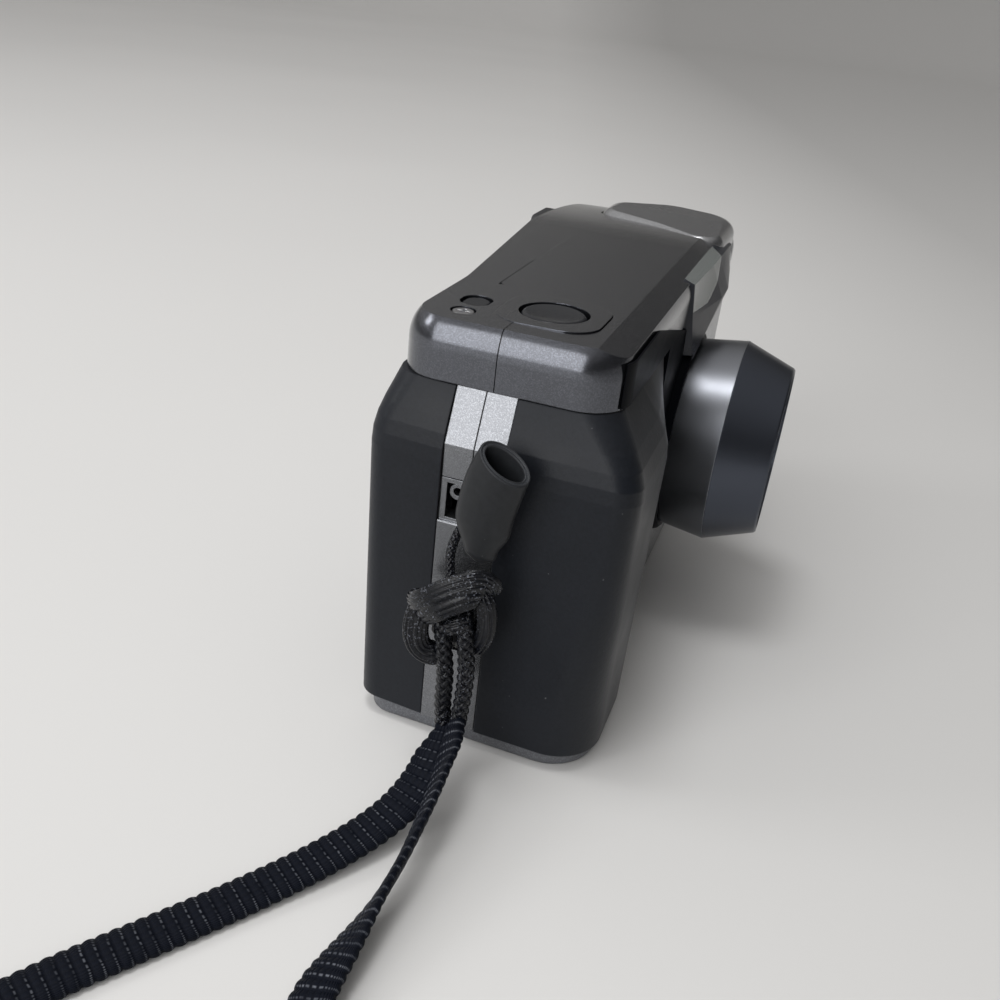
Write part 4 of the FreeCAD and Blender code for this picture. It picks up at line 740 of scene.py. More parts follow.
# The buttons' edges are lightened eightfold: a painted highlight on their rims.
BUTTON = Moulding(
    "button_plastic", (0.01, 0.011, 0.014), 0.2, grain_depth_mm=0.001, edge_gain=8.0, specular=0.4
)
KEY = Moulding("key_plastic", (0.03, 0.031, 0.034), 0.42)
INNER = Moulding("inner_plastic", (0.02, 0.02, 0.022), 0.55)
CHASSIS = Moulding("chassis_plastic", (0.03, 0.03, 0.034), 0.5, grain_mm=0.4)
GEAR = Moulding("gear_plastic", (0.62, 0.6, 0.55), 0.4, edge_gain=1.1)
LENS_PAINT = Turned("lens_paint", (0.072, 0.08, 0.1), 0.26, metallic=0.85, ring_depth_mm=0.0001)
LENS_BAND = Turned("lens_band_metal", (0.24, 0.25, 0.275), 0.3)
STEEL = Brushed("plate_steel", (0.5, 0.5, 0.51), 0.32)
MOTOR = Brushed("motor_can_steel", (0.45, 0.46, 0.47), 0.35, stretch=(1, 1, 0.1))
SCREW = Brushed("screw_steel", (0.62, 0.62, 0.64), 0.2, stretch=(1, 0.2, 1))
MIRROR = Brushed("reflector_metal", (0.8, 0.8, 0.82), 0.12, stretch=(0.1, 1, 1))
# The front window's pale grey-green colour is a painted reflection of the pale surroundings.
PAINTED_REFLECTION_GLASS = Glass("viewfinder_glass_painted_reflection", (0.42, 0.45, 0.44), transmission=0.5)
CLEAR_GLASS = Glass("clear_glass", (0.85, 0.88, 0.9))
DARK_GLASS = Glass("smoked_glass", (0.05, 0.055, 0.06), transmission=0.5)
LENS_GLASS = Glass("coated_lens_glass", (0.62, 0.55, 0.8), 0.01, ior=1.6, coat=1.0)
CELL = Wrapped("battery_wrap", (0.1, 0.105, 0.12), 0.3, second=(0.13, 0.135, 0.15))
CAPACITOR = Wrapped("capacitor_wrap", (0.02, 0.024, 0.036), 0.25, second=(0.03, 0.034, 0.05))
BOARD = Wrapped("circuit_board_lacquer", (0.02, 0.12, 0.06), 0.35, second=(0.03, 0.16, 0.075))
CORD = Yarn("cord_yarn", (0.003, 0.0035, 0.0055), 0.24)
KNOT = Yarn("knot_yarn", (0.003, 0.0036, 0.0056), 0.24, filament_mm=0.16, twist=1.0)
WEBBING = Weave("webbing_weave", (0.006, 0.008, 0.015), 0.5)
# The sleeve's high edge gain paints a highlight on its double lip.
SLEEVE = Rubber(
    "sleeve_skin", (0.013, 0.014, 0.016), 0.44, grain_mm=0.5, grain_depth_mm=0.006, edge_gain=7.0, sheen=0.04
)
FLOOR = Paper("floor_paper", (0.78, 0.775, 0.765), 0.75)

NODE_FINISHES: dict[Finish, tuple[str, ...]] = {
    PLATE: ("top_cover_front", "top_cover_rear", "shutter_collar"),
    SHELL: ("front_cover", "back_door", "strap_lug"),
    BASE: ("base_plate", "battery_door"),
    HUMP_PAINTED_HIGHLIGHT: ("flash_housing",),
    PROW: ("window_housing",),
    GRIP: ("front_grip", "rear_grip"),
    BUTTON: ("shutter_button", "mode_button"),
    KEY: ("zoom_rocker", "door_latch"),
    INNER: (
        "eyepiece_frame", "viewfinder_block", "af_module", "lens_housing", "cam_ring", "barrier_blade_left",
        "barrier_blade_right", "shutter_unit", "film_roller",
    ),
    CHASSIS: ("main_frame", "take_up_spool"),
    GEAR: ("wind_idler", "rewind_fork"),
    TRIM: ("lens_shroud",),
    LENS_PAINT: ("lens_bezel", "zoom_barrel", "inner_barrel"),
    LENS_BAND: ("lens_band",),
    STEEL: (
        "wind_pinion", "pressure_plate", "plate_spring", "hinge_pin", "battery_contacts", "tripod_socket",
    ),
    MOTOR: ("zoom_motor", "wind_motor"),
    SCREW: ("case_screws",),
    MIRROR: ("flash_reflector",),
    PAINTED_REFLECTION_GLASS: ("front_window",),
    CLEAR_GLASS: ("flash_window", "flash_tube", "eyepiece_lens"),
    DARK_GLASS: ("film_window", "lcd_window"),
    LENS_GLASS: ("front_lens", "rear_lens"),
    CELL: ("battery",),
    CAPACITOR: ("flash_capacitor",),
    BOARD: ("circuit_board",),
}


@dataclass
class CameraBody:
    """The camera's own CAD nodes, which keep their shapes and get their finishes here."""

    finishes: dict[Finish, tuple[str, ...]] = field(default_factory=lambda: dict(NODE_FINISHES))

    def dress(self, nodes: dict[str, bpy.types.Object]) -> int:
        """Gives each node its finish.

        Args:
            nodes: the CAD nodes by name.

        Returns:
            How many nodes were dressed.
        """
        dressed = 0
        for finish, names in self.finishes.items():
            for name in names:
                finish.wear_on(nodes[name])
                dressed += 1
        return dressed


# Lines and wrapped meshes


class Line:
    """A smooth line through space with a frame at each place along it."""

    def __init__(self, points: list[Vector], level: bool = False) -> None:
        """Measures the points.

        Args:
            points: the line's points, close together.
            level: True keeps the side direction level; False carries it along without twist.
        """
        self.points = points
        self.lengths = [0.0]
        for a, b in zip(points, points[1:]):
            self.lengths.append(self.lengths[-1] + (b - a).length)
        self.tangents = self._tangents()
        self.sides = self._level_sides() if level else self._carried_sides()

    @property
    def length(self) -> float:
        """The line's length."""
        return self.lengths[-1]

    def _tangents(self) -> list[Vector]:
        """The direction at each point, from its neighbours."""
        last = len(self.points) - 1
        return [
            (self.points[min(i + 1, last)] - self.points[max(i - 1, 0)]).normalized() for i in range(last + 1)
        ]

    def _level_sides(self) -> list[Vector]:
        """Side directions that stay level."""
        return [t.cross(UP).normalized() for t in self.tangents]

    def _carried_sides(self) -> list[Vector]:
        """Carries a side direction along the line without twist.

        Returns:
            The side direction at each point.
        """
        side = self.tangents[0].orthogonal().normalized()
        sides = []
        for tangent in self.tangents:
            side = (side - tangent * side.dot(tangent)).normalized()
            sides.append(side)
        return sides

    def frame(self, share: float) -> tuple[Vector, Vector, Vector, Vector]:
        """The frame at a share of the length.

        Args:
            share: 0 at the start and 1 at the end.

        Returns:
            The point, the direction, the side and the lift there.
        """
        target = min(max(share, 0.0), 1.0) * self.length
        low, high = 0, len(self.lengths) - 1
        while high - low > 1:
            middle = (low + high) // 2
            low, high = (middle, high) if self.lengths[middle] <= target else (low, middle)
        part = (target - self.lengths[low]) / max(self.lengths[high] - self.lengths[low], TINY)
        point = self.points[low].lerp(self.points[high], part)
        tangent = self.tangents[low].lerp(self.tangents[high], part).normalized()
        side = self.sides[low].lerp(self.sides[high], part)
        side = (side - tangent * side.dot(tangent)).normalized()
        return point, tangent, side, side.cross(tangent).normalized()


def spline_points(route: Route) -> list[Vector]:
    """Reads close points from a smooth spline whose control points are a route's.

    Args:
        route: the control points, in metres.

    Returns:
        The spline's points in order.
    """
    curve = bpy.data.curves.new("route", "CURVE")
    curve.dimensions = "3D"
    curve.resolution_u = POINTS_PER_STEP
    spline = curve.splines.new("NURBS")
    spline.points.add(len(route) - 1)
    for point, place in zip(spline.points, route):
        point.co = (*place, 1.0)
    spline.order_u = 3
    spline.use_endpoint_u = True
    holder = bpy.data.objects.new("route", curve)
    mesh = bpy.data.meshes.new_from_object(holder)
    points = [v.co.copy() for v in mesh.vertices]
    bpy.data.objects.remove(holder)
    bpy.data.curves.remove(curve)
    bpy.data.meshes.remove(mesh)
    return points


def smooth_step(value: float) -> float:
    """Eases a value from 0 to 1."""
    value = min(max(value, 0.0), 1.0)
    return value * value * (3 - 2 * value)


def keyed(keys: Keys, at: float) -> float:
    """Reads a value that eases from key to key.

    Args:
        keys: pairs of a place and the value there, in order.
        at: the place to read.

    Returns:
        The value there.
    """
    if at <= keys[0][0]:
        return keys[0][1]
    for (a, first), (b, second) in zip(keys, keys[1:]):
        if at <= b:
            return first + (second - first) * smooth_step((at - a) / (b - a))
    return keys[-1][1]


def swing(first: Vector, second: Vector, angle: float) -> Vector:
    """The first direction swung by an angle towards the second."""
    return first * math.cos(angle) + second * math.sin(angle)


def squared(value: float, power: float) -> float:
    """A sine or cosine pushed outwards, so that a round section gets flatter sides."""
    return math.copysign(abs(value) ** power, value)


def linked(name: str, data: bpy.types.ID) -> bpy.types.Object:
    """Puts data into the scene as a new object.

    Args:
        name: the object's name.
        data: its mesh, lamp or camera data.

    Returns:
        The object.
    """
    made = bpy.data.objects.new(name, data)
    bpy.context.scene.collection.objects.link(made)
    return made


def smooth_object(name: str, form: bmesh.types.BMesh) -> bpy.types.Object:
    """Turns a form into a smooth object of the scene, and frees the form.

    Args:
        name: the name of the object and its mesh.
        form: the form, which can't be used afterwards.

    Returns:
        The object.
    """
    bmesh.ops.recalc_face_normals(form, faces=form.faces)
    mesh = bpy.data.meshes.new(name)
    form.to_mesh(mesh)
    form.free()
    for polygon in mesh.polygons:
        polygon.use_smooth = True
    return linked(name, mesh)


@dataclass
class WrappedMesh:
    """One mesh made of grids that are wrapped into closed tubes, with a UV map in metres."""

    name: str
    form: bmesh.types.BMesh = field(default_factory=bmesh.new)
    seam_gap: float = 1e-7

    def tube(self, rings: int, sides: int, place: Placing, length: float, girth: float) -> None:
        """Wraps one grid into a tube and closes its ends.

        Args:
            rings: the steps along the tube.
            sides: the steps round it.
            place: gives the point at (share along, share round).
            length: the tube's length, for the UV map.
            girth: the way round it, for the UV map.
        """
        uv = self.form.loops.layers.uv.verify()
        made = bmesh.ops.create_grid(self.form, x_segments=rings, y_segments=sides, size=0.5)
        verts = made["verts"]
        shares = {v: (v.co.x + 0.5, v.co.y + 0.5) for v in verts}
        faces = {f for v in verts for f in v.link_faces}
        for face in faces:
            for loop in face.loops:
                along, around = shares[loop.vert]
                loop[uv].uv = (along * length, around * girth)
        for vert, (along, around) in shares.items():
            vert.co = place(along, around % 1.0)
        bmesh.ops.remove_doubles(self.form, verts=verts, dist=self.seam_gap)
        rims = {e for f in faces if f.is_valid for e in f.edges if e.is_boundary}
        bmesh.ops.holes_fill(self.form, edges=list(rims), sides=0)

    def piece(self, finish: Finish, slot: Slot, body: Body = Body.CAMERA) -> bpy.types.Object:
        """Turns the mesh into a dressed piece.

        Args:
            finish: what it wears.
            slot: the record's slot for it; not used.
            body: the body that it rides on.

        Returns:
            The piece.
        """
        piece = smooth_object(self.name, self.form)
        finish.wear_on(piece)
        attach(piece, body.value)
        return piece


# The wrist strap


@dataclass
class WebbingLoop:
    """The strap's loop of ribbed webbing, out along the floor and back."""

    route: Route = (
        (-0.06755, -0.0024, 0.0098), (-0.07165, -0.0029, 0.0074), (-0.07735, -0.0024, 0.0051),
        (-0.08355, -0.0002, 0.0032), (-0.09135, 0.0044, 0.0018), (-0.10105, 0.011, 0.001),
        (-0.11165, 0.0184, 0.001), (-0.12325, 0.0266, 0.001), (-0.13675, 0.0336, 0.001),
        (-0.15275, 0.0354, 0.001), (-0.16675, 0.028, 0.001), (-0.17275, 0.0136, 0.001),
        (-0.16775, -0.0014, 0.001), (-0.15475, -0.0106, 0.001), (-0.13925, -0.0116, 0.001),
        (-0.12575, -0.0076, 0.0012), (-0.11325, -0.0036, 0.0018), (-0.10275, -0.0048, 0.0029),
        (-0.09275, -0.006, 0.0046), (-0.08505, -0.0059, 0.0062), (-0.07795, -0.0055, 0.0078),
        (-0.07205, -0.005, 0.0096), (-0.06765, -0.0044, 0.0117),
    )
    width: float = 6.3 * MM
    thickness: float = 1.5 * MM
    rib_pitch: float = 1.6 * MM
    rib_height: float = 0.24 * MM
    ring_step: float = 0.2 * MM
    sides: int = 28
    squareness: float = 0.62
    neck_width: float = 2.8 * MM
    neck_thickness: float = 2.0 * MM
    neck_length: float = 7.0 * MM
    roll_keys: Keys = ((0.0, 0.0), (0.66, 0.0), (0.81, 20.0), (0.895, 72.0), (0.955, 65.0), (1.0, 50.0))

    def section(self, along: float) -> tuple[float, float]:
        """The webbing's section between two ribs.

        Args:
            along: the distance from the nearer end.

        Returns:
            Half the width and half the thickness.
        """
        share = smooth_step(along / self.neck_length)
        width = self.neck_width + (self.width - self.neck_width) * share
        thickness = self.neck_thickness + (self.thickness - self.neck_thickness) * share
        return width / 2 - self.rib_height, thickness / 2 - self.rib_height

    def build(self) -> bpy.types.Object:
        """Weaves the loop along its line.

        Returns:
            The loop's piece.
        """
        line = Line(spline_points(self.route), level=True)
        log.info("webbing line %.1f mm", line.length / MM)

        def place(along: float, around: float) -> Vector:
            """A point of the webbing's skin.

            Args:
                along: the share of its length.
                around: the share of the way round it.

            Returns:
                The point.
            """
            point, _, side, lift = line.frame(along)
            distance = along * line.length
            half_width, half_thickness = self.section(min(distance, line.length - distance))
            phase = (distance / self.rib_pitch) % 1.0
            crown = self.rib_height * (1 - (2 * phase - 1) ** 2)
            roll = math.radians(keyed(self.roll_keys, along))
            across, out = swing(side, lift, roll), swing(lift, -side, roll)
            angle = around * math.tau
            wide = squared(math.cos(angle), self.squareness)
            high = squared(math.sin(angle), self.squareness)
            return point + across * wide * (half_width + crown) + out * high * (half_thickness + crown)

        made = WrappedMesh("strap_webbing_weave")
        girth = 2 * (self.width + self.thickness)
        made.tube(round(line.length / self.ring_step), self.sides, place, line.length, girth)
        piece = made.piece(WEBBING, Slot.WEBBING)
        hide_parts("strap_webbing")
        self.line = line
        return piece

    def declare(self) -> None:
        """The loop is a free cord that leaves the knot and ends in it; this only turns its first route point
        and its line's points into tuples and keeps none of them.
        """
        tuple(self.route[0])
        [tuple(p) for p in self.line.points]


@dataclass
class Braid:
    """A round cord plaited from yarns that run both ways round it."""

    diameter: float
    pitch: float = 6.0 * MM
    yarns: int = 8
    yarn_width: float = 0.95 * MM
    yarn_thickness: float = 0.5 * MM
    yarn_girth: float = 2.6
    weave_depth: float = 0.16 * MM
    ring_step: float = 0.22 * MM
    fewest_rings: int = 8
    sides: int = 8
    core_sink: float = 0.1
    core_coarseness: int = 3
    fewest_core_rings: int = 6
    core_sides: int = 10

    def lay_on(self, made: WrappedMesh, line: Line) -> None:
        """Adds the yarns and the core along a line.

        Args:
            made: the mesh that they go into.
            line: the cord's own line.
        """
        rings = max(self.fewest_rings, round(line.length / self.ring_step))
        middle = self.diameter / 2 - self.yarn_thickness / 2 - self.weave_depth
        girth = self.yarn_width * self.yarn_girth
        for index in range(self.yarns):
            made.tube(rings, self.sides, self._yarn(line, index, middle), line.length, girth)
        core_rings = max(self.fewest_core_rings, rings // self.core_coarseness)
        made.tube(core_rings, self.core_sides, self._core(line, middle), line.length, middle * math.tau)

    def _yarn(self, line: Line, index: int, middle: float) -> Placing:
        """Winds one yarn round the line; even ones run one way round and odd ones the other.

        Args:
            line: the cord's own line.
            index: the yarn's number.
            middle: how far from the line the yarns' middles lie.

        Returns:
            The placing of its skin.
        """
        turn = 1 if index % 2 == 0 else -1
        start = math.tau * (index // 2) / (self.yarns / 2) + (0 if turn > 0 else math.tau / self.yarns)
        crossings = self.yarns * math.pi / self.pitch
        slope = math.atan2(turn * math.tau * middle, self.pitch)

        def place(along: float, around: float) -> Vector:
            """A point of the yarn's skin.

            Args:
                along: the share of the line's length.
                around: the share of the way round the yarn.

            Returns:
                The point.
            """
            point, tangent, side, lift = line.frame(along)
            distance = along * line.length
            angle = start + turn * math.tau * distance / self.pitch
            radius = middle + turn * self.weave_depth * math.sin(crossings * distance)
            out = swing(side, lift, angle)
            across = swing(swing(lift, -side, angle), -tangent, slope)
            turned = around * math.tau
            height = radius + math.sin(turned) * self.yarn_thickness / 2
            return point + out * height + across * math.cos(turned) * self.yarn_width / 2

        return place

    def _core(self, line: Line, middle: float) -> Placing:
        """Fills the cord's middle, which closes the gaps between the yarns.

        Args:
            line: the cord's own line.
            middle: how far from the line the yarns' middles lie.

        Returns:
            The placing of the core's skin.
        """
        radius = middle - self.yarn_thickness * self.core_sink

        def place(along: float, around: float) -> Vector:
            """The point of the core's skin at a share of its length and of the way round."""
            point, _, side, lift = line.frame(along)
            return point + swing(side, lift, around * math.tau) * radius

        return place


@dataclass(frozen=True)
class RidgedBand:
    """A flattened length of the strap pulled tight in the knot, with ridges along it."""

    route: Route
    width: float
    thickness: float
    ridges: int
    ridge_height: float = 0.3 * MM
    ridge_base: float = 0.6
    ridge_sides: int = 12
    facing: Point = (-1.0, 0.0, 0.0)
    squareness: float = 0.8
    end_share: float = 0.16
    end_taper: float = 0.45
    ring_step: float = 0.25 * MM
    girth_share: float = 2.2

    def lay_on(self, made: WrappedMesh) -> None:
        """Adds the band to a mesh; its flat face looks away from the knot's middle.

        Args:
            made: the mesh that it goes into.
        """
        line = Line(spline_points(self.route))
        facing = Vector(self.facing)

        def place(along: float, around: float) -> Vector:
            """A point of the band's skin.

            Args:
                along: the share of its length.
                around: the share of the way round it.

            Returns:
                The point.
            """
            point, tangent, _, _ = line.frame(along)
            out = (facing - tangent * facing.dot(tangent)).normalized()
            across = tangent.cross(out).normalized()
            ease = 1 - self.end_taper * (1 - smooth_step(min(along, 1 - along) / self.end_share))
            angle = around * math.tau
            wide = squared(math.cos(angle), self.squareness) * self.width / 2
            high = squared(math.sin(angle), self.squareness) * self.thickness / 2
            ridge = self.ridge_height * (abs(math.cos(angle * self.ridges)) - self.ridge_base)
            swell = 1 + ridge / (math.hypot(wide, high) or 1.0)
            return point + (across * wide + out * high) * ease * swell

        rings = round(line.length / self.ring_step)
        girth = self.girth_share * (self.width + self.thickness)
        made.tube(rings, self.ridge_sides * self.ridges, place, line.length, girth)


@dataclass
class StrapKnot:
    """The knot that ties the strap's two strands into the thin cord's loop."""

    wrap: RidgedBand = RidgedBand(
        (
            (-0.064, 0.004, 0.029), (-0.0664, 0.004, 0.0282), (-0.0684, 0.0027, 0.0292),
            (-0.0694, 0.0004, 0.0314), (-0.0692, -0.0022, 0.0334), (-0.0682, -0.0046, 0.0346),
            (-0.0664, -0.006, 0.0344), (-0.0642, -0.0056, 0.033),
        ),
        width=5.4 * MM, thickness=2.6 * MM, ridges=9,
    )
    left: RidgedBand = RidgedBand(
        (
            (-0.066, 0.0018, 0.0302), (-0.0674, 0.0032, 0.0288), (-0.068, 0.0036, 0.0264),
            (-0.0682, 0.0034, 0.0238), (-0.068, 0.0024, 0.022), (-0.0676, 0.0006, 0.0214),
            (-0.0668, -0.001, 0.0222),
        ),
        width=3.6 * MM, thickness=2.6 * MM, ridges=7,
    )
    right: RidgedBand = RidgedBand(
        (
            (-0.0666, -0.0048, 0.0342), (-0.067, -0.0062, 0.0328), (-0.067, -0.0068, 0.0302),
            (-0.0666, -0.0068, 0.0272), (-0.0662, -0.006, 0.0244), (-0.0654, -0.0044, 0.0222),
        ),
        width=2.6 * MM, thickness=2.4 * MM, ridges=5,
    )
    tuck: RidgedBand = RidgedBand(
        (
            (-0.0664, -0.0004, 0.0256), (-0.0682, -0.0014, 0.027), (-0.0686, -0.003, 0.028),
            (-0.0672, -0.0046, 0.0284),
        ),
        width=2.2 * MM, thickness=1.6 * MM, ridges=4,
    )
    heart: RidgedBand = RidgedBand(
        ((-0.064, -0.001, 0.033), (-0.0646, -0.0014, 0.028), (-0.0646, -0.0014, 0.022)),
        width=7.0 * MM, thickness=3.0 * MM, ridges=10,
    )

    def build(self) -> bpy.types.Object:
        """Ties the bands and the heart of the knot together.

        Returns:
            The knot, as one piece.
        """
        made = WrappedMesh("strap_knot_bands")
        for band in (self.wrap, self.left, self.right, self.tuck, self.heart):
            band.lay_on(made)
        piece = made.piece(KNOT, Slot.CORD)
        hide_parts("strap_knot")
        return piece


@dataclass
class StrapCords:
    """The braided parts of the strap: the thin cord through the lug and the two strands below the knot."""

    thin: Route = (
        (-0.05875, -0.0012, 0.0416), (-0.06135, -0.0002, 0.0408), (-0.06315, 0.0006, 0.0386),
        (-0.06455, 0.0006, 0.036), (-0.06575, -0.0004, 0.0334),
    )
    rear_strand: Route = (
        (-0.0672, -0.0002, 0.0275), (-0.068, -0.001, 0.0235), (-0.0679, -0.0017, 0.0185),
        (-0.0677, -0.0015, 0.0135), (-0.0678, -0.002, 0.0095),
    )
    front_strand: Route = (
        (-0.067, -0.0034, 0.029), (-0.0677, -0.0043, 0.0245), (-0.0677, -0.0048, 0.02),
        (-0.0677, -0.0047, 0.0155), (-0.068, -0.0044, 0.011),
    )
    thin_diameter: float = 1.5 * MM
    thin_pitch: float = 3.4 * MM
    thin_yarn_width: float = 0.55 * MM
    thin_yarn_thickness: float = 0.3 * MM
    thin_weave_depth: float = 0.09 * MM
    thin_ring_step: float = 0.14 * MM
    strand_diameter: float = 2.7 * MM

    def build(self) -> list[bpy.types.Object]:
        """Plaits the thin cord and the two strands.

        Returns:
            The thin cord's piece and the strands' piece.
        """
        thin = WrappedMesh("strap_cord_braid")
        small = Braid(
            self.thin_diameter, pitch=self.thin_pitch, yarn_width=self.thin_yarn_width,
            yarn_thickness=self.thin_yarn_thickness, weave_depth=self.thin_weave_depth,
            ring_step=self.thin_ring_step,
        )
        small.lay_on(thin, Line(spline_points(self.thin)))
        thin_piece = thin.piece(CORD, Slot.CORD)
        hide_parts("strap_cord")
        strands = WrappedMesh("strap_strand_braids")
        for route in (self.rear_strand, self.front_strand):
            Braid(self.strand_diameter).lay_on(strands, Line(spline_points(route)))
        strand_piece = strands.piece(CORD, Slot.CORD)
        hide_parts("strap_strands")
        return [thin_piece, strand_piece]


@dataclass
class CordSleeve:
    """The flattened rubber sleeve on the cord, closed round it at the foot and open in an oval mouth."""

    foot: Point = (-0.06535, -0.0044, 0.0376)
    waist: Point = (-0.0657, -0.0033, 0.0450)
    mouth: Point = (-0.06595, -0.0065, 0.0534)
    wide_foot: Point = (0.0, -0.94, -0.10)
    wide_mouth: Point = (0.0, -0.89, -0.45)
    lean: float = 0.55
    lean_from: float = 0.35
    widths_mm: Keys = ((0.0, 1.0), (0.08, 2.4), (0.42, 4.2), (0.8, 4.3), (1.0, 4.1))
    depths_mm: Keys = ((0.0, 0.9), (0.12, 1.8), (0.5, 2.4), (1.0, 2.6))
    rows: int = 30
    lip_mm: Keys = (
        (0.05, 0.16), (0.2, 0.24), (0.36, 0.2), (0.44, 0.02), (0.52, 0.0),
        (0.6, 0.12), (0.74, 0.16), (0.86, 0.08), (0.92, -0.1),
    )
    lining_rows: int = 16
    lined_rows: int = 11
    floor_insets_mm: Spread = (1.5, 2.0)
    sides: int = 56
    length: float = 30 * MM
    girth: float = 25 * MM

    def frame(self, along: float) -> tuple[Vector, Vector, Vector]:
        """The sleeve's section at one height.

        Args:
            along: the share of the sleeve's height.

        Returns:
            The centre, the wide direction and the thin direction.
        """
        waist = Vector(self.waist)
        centre = Vector(self.foot).lerp(waist, along).lerp(waist.lerp(Vector(self.mouth), along), along)
        axis = (Vector(self.mouth) - Vector(self.foot)).normalized()
        wide = Vector(self.wide_foot).lerp(Vector(self.wide_mouth), smooth_step(along)).normalized()
        thin = axis.cross(wide).normalized()
        if thin.x > 0:
            thin = -thin
        tilt = self.lean * smooth_step((along - self.lean_from) / (1 - self.lean_from))
        return centre, wide, (thin - axis * tilt).normalized()

    def build(self) -> bpy.types.Object:
        """Lofts the outside, rolls it over a double lip and lines the inside.

        Returns:
            The sleeve's piece.
        """
        stations = self._stations()
        count = len(stations) - 1

        def place(along: float, around: float) -> Vector:
            """A point of the sleeve's skin.

            Args:
                along: the share of the way over the stations.
                around: the share of the way round the sleeve.

            Returns:
                The point.
            """
            share, inset, rise = stations[min(round(along * count), count)]
            centre, wide, thin = self.frame(share)
            axis = thin.cross(wide).normalized()
            if axis.z < 0:
                axis = -axis
            angle = around * math.tau
            half_wide = keyed(self.widths_mm, share) * MM - inset
            half_thin = keyed(self.depths_mm, share) * MM - inset
            section = centre + wide * math.cos(angle) * half_wide + thin * math.sin(angle) * half_thin
            return section + axis * rise

        made = WrappedMesh("strap_sleeve_boot")
        made.tube(count, self.sides, place, self.length, self.girth)
        piece = made.piece(SLEEVE, Slot.SLEEVE)
        finish = piece.modifiers.new("soften", "SUBSURF")
        finish.levels = finish.render_levels = 1
        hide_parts("strap_sleeve")
        return piece

    def _stations(self) -> list[Point]:
        """Lists the rings from the foot, over the lip and down inside.

        Returns:
            The share of the height, the inset and the rise of each ring.
        """
        outside = [(i / self.rows, 0.0, 0.0) for i in range(self.rows + 1)]
        lip = [(1.0, inset * MM, rise * MM) for inset, rise in self.lip_mm]
        _, wall, drop = lip[-1]
        inside = [(1.0 - i / self.lining_rows, wall, drop) for i in range(1, self.lined_rows + 1)]
        floor = [(inside[-1][0], inset * MM, drop) for inset in self.floor_insets_mm]
        return outside + lip + inside + floor


# The studio


@dataclass
class PhotoCamera:
    """The camera at the photograph's own place, turn and lens."""

    place: Point = (-0.186495, -0.042086, 0.111894)
    yaw: float = 16.4997
    pitch: float = 26.9195
    roll: float = 6.5197
    focal_px: float = 1044.008
    picture_px: float = 1000.0
    sensor: float = 36.0
    clip: Spread = (0.005, 50.0)

    def build(self) -> None:
        """Makes the camera, turns it and makes it the scene's own."""
        data = bpy.data.cameras.new("photo_camera")
        data.sensor_fit = "HORIZONTAL"
        data.sensor_width = self.sensor
        data.lens = self.focal_px / self.picture_px * self.sensor
        data.clip_start, data.clip_end = self.clip
        yaw, pitch, roll = (math.radians(a) for a in (self.yaw, self.pitch, self.roll))
        ahead = Vector((math.cos(pitch) * math.cos(yaw), math.cos(pitch) * math.sin(yaw), -math.sin(pitch)))
        level = ahead.cross(UP).normalized()
        up = level.cross(ahead)
        right, top = swing(level, up, roll), swing(up, -level, roll)
        turn = Matrix((right, top, -ahead)).transposed().to_4x4()
        camera = linked("photo_camera", data)
        camera.matrix_world = Matrix.Translation(self.place) @ turn
        bpy.context.scene.camera = camera


@dataclass(frozen=True)
class Lamp:
    """One soft square lamp aimed at the camera."""

    name: str
    place: Point
    size: float
    power: float

    def build(self, aim: Vector) -> None:
        """Hangs the lamp and turns it.

        Args:
            aim: the point that it shines at.
        """
        data = bpy.data.lights.new(self.name, "AREA")
        data.size, data.energy = self.size, self.power
        lamp = linked(self.name, data)
        lamp.location = self.place
        lamp.rotation_mode = "QUATERNION"
        lamp.rotation_quaternion = (aim - lamp.location).to_track_quat("-Z", "Y")


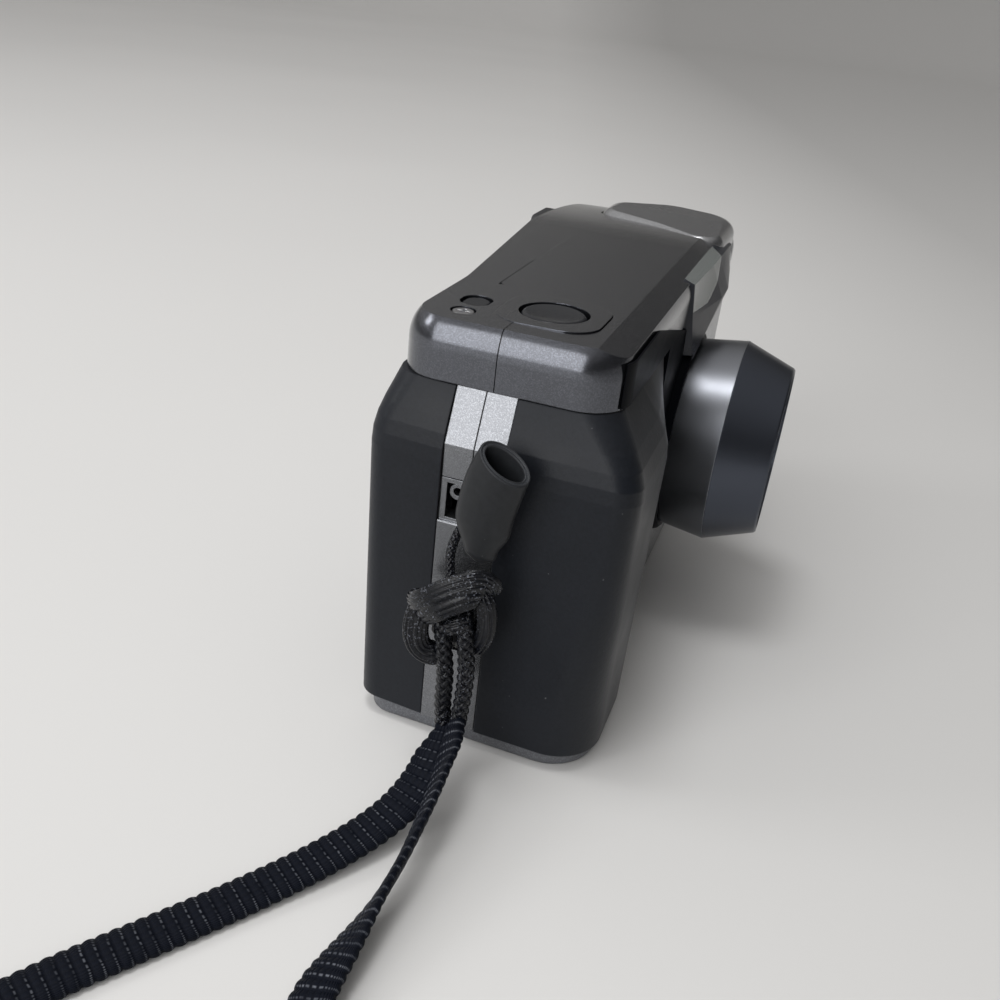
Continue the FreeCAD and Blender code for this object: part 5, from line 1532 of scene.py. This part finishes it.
@dataclass
class Studio:
    """The pale floor, the lamps and the sky of the picture."""

    aim: Point = (-0.02, 0.0, 0.03)
    floor_radius: float = 2.2
    sweep_radius: float = 0.45
    rim_height: float = 0.02
    sweep_steps: int = 10
    turns: int = 72
    seam_gap: float = 1e-5
    sky: Colour = (0.62, 0.61, 0.6)
    bright_side: Point = (-0.1, 0.45, 0.89)
    sky_strength: Spread = (0.12, 1.03)
    sky_reach: Spread = (0.15, 0.85)
    lamps: tuple[Lamp, ...] = (
        Lamp("window_lamp", (-1.05, 0.32, 0.5), 0.9, 7.7),
        Lamp("key_lamp", (-0.17, 0.15, 1.05), 0.3, 2.8),
        Lamp("low_lamp", (-0.35, 0.95, 0.6), 0.3, 1.6),
    )

    def build(self) -> None:
        """Lays the floor, hangs the lamps and sets the sky and the view transform."""
        self.floor()
        for lamp in self.lamps:
            lamp.build(Vector(self.aim))
        bpy.context.scene.world = self.sky_dome()
        bpy.context.scene.view_settings.view_transform = "Standard"

    def floor(self) -> None:
        """Lays a round paper floor whose rim sweeps up without a corner."""
        form = bmesh.new()
        profile = [form.verts.new((0, 0, 0)), form.verts.new((self.floor_radius, 0, 0))]
        form.edges.new(profile)
        arc = bmesh.ops.spin(
            form, geom=[profile[1]], cent=(self.floor_radius, 0, self.sweep_radius), axis=(0, -1, 0),
            angle=math.pi / 2, steps=self.sweep_steps,
        )
        top = [v for v in arc["geom_last"] if isinstance(v, bmesh.types.BMVert)]
        raised = bmesh.ops.extrude_vert_indiv(form, verts=top)["verts"]
        bmesh.ops.translate(form, verts=raised, vec=(0, 0, self.rim_height))
        bmesh.ops.spin(
            form, geom=form.verts[:] + form.edges[:], cent=(0, 0, 0), axis=(0, 0, 1), angle=math.tau,
            steps=self.turns, use_merge=True,
        )
        bmesh.ops.remove_doubles(form, verts=form.verts, dist=self.seam_gap)
        floor = smooth_object("studio_floor", form)
        FLOOR.wear_on(floor)

    def sky_dome(self) -> bpy.types.World:
        """Paints a soft sky, bright on the window's side of the room and dim across from it.

        Returns:
            The world that holds it.
        """
        world = bpy.data.worlds.new("studio_sky")
        graph = Graph(world, "Background")
        towards = {0: graph.add("TexCoord").outputs["Generated"], 1: Vector(self.bright_side).normalized()}
        facing = graph.add("VectorMath", towards, operation="DOT_PRODUCT").outputs["Value"]
        graph.feed(graph.shader, 0, rgba(self.sky))
        graph.feed(graph.shader, 1, graph.span(facing, *self.sky_strength, *self.sky_reach))
        return world


def main() -> None:
    """Builds and dresses everything in order."""
    logging.basicConfig(level=logging.INFO, format="%(name)s: %(message)s")
    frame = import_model()
    PhotoCamera().build()
    Studio().build()
    log.info("dressed %d CAD nodes", CameraBody().dress(frame["nodes"]))
    loop = WebbingLoop()
    webbing = loop.build()
    log.info("wove %s", webbing.name)
    knot = StrapKnot().build()
    log.info("tied %s", knot.name)
    cords = StrapCords().build()
    log.info("plaited %s", ", ".join(c.name for c in cords))
    sleeve = CordSleeve().build()
    log.info("moulded %s", sleeve.name)
    loop.declare()


if __name__ == "__main__":
    main()
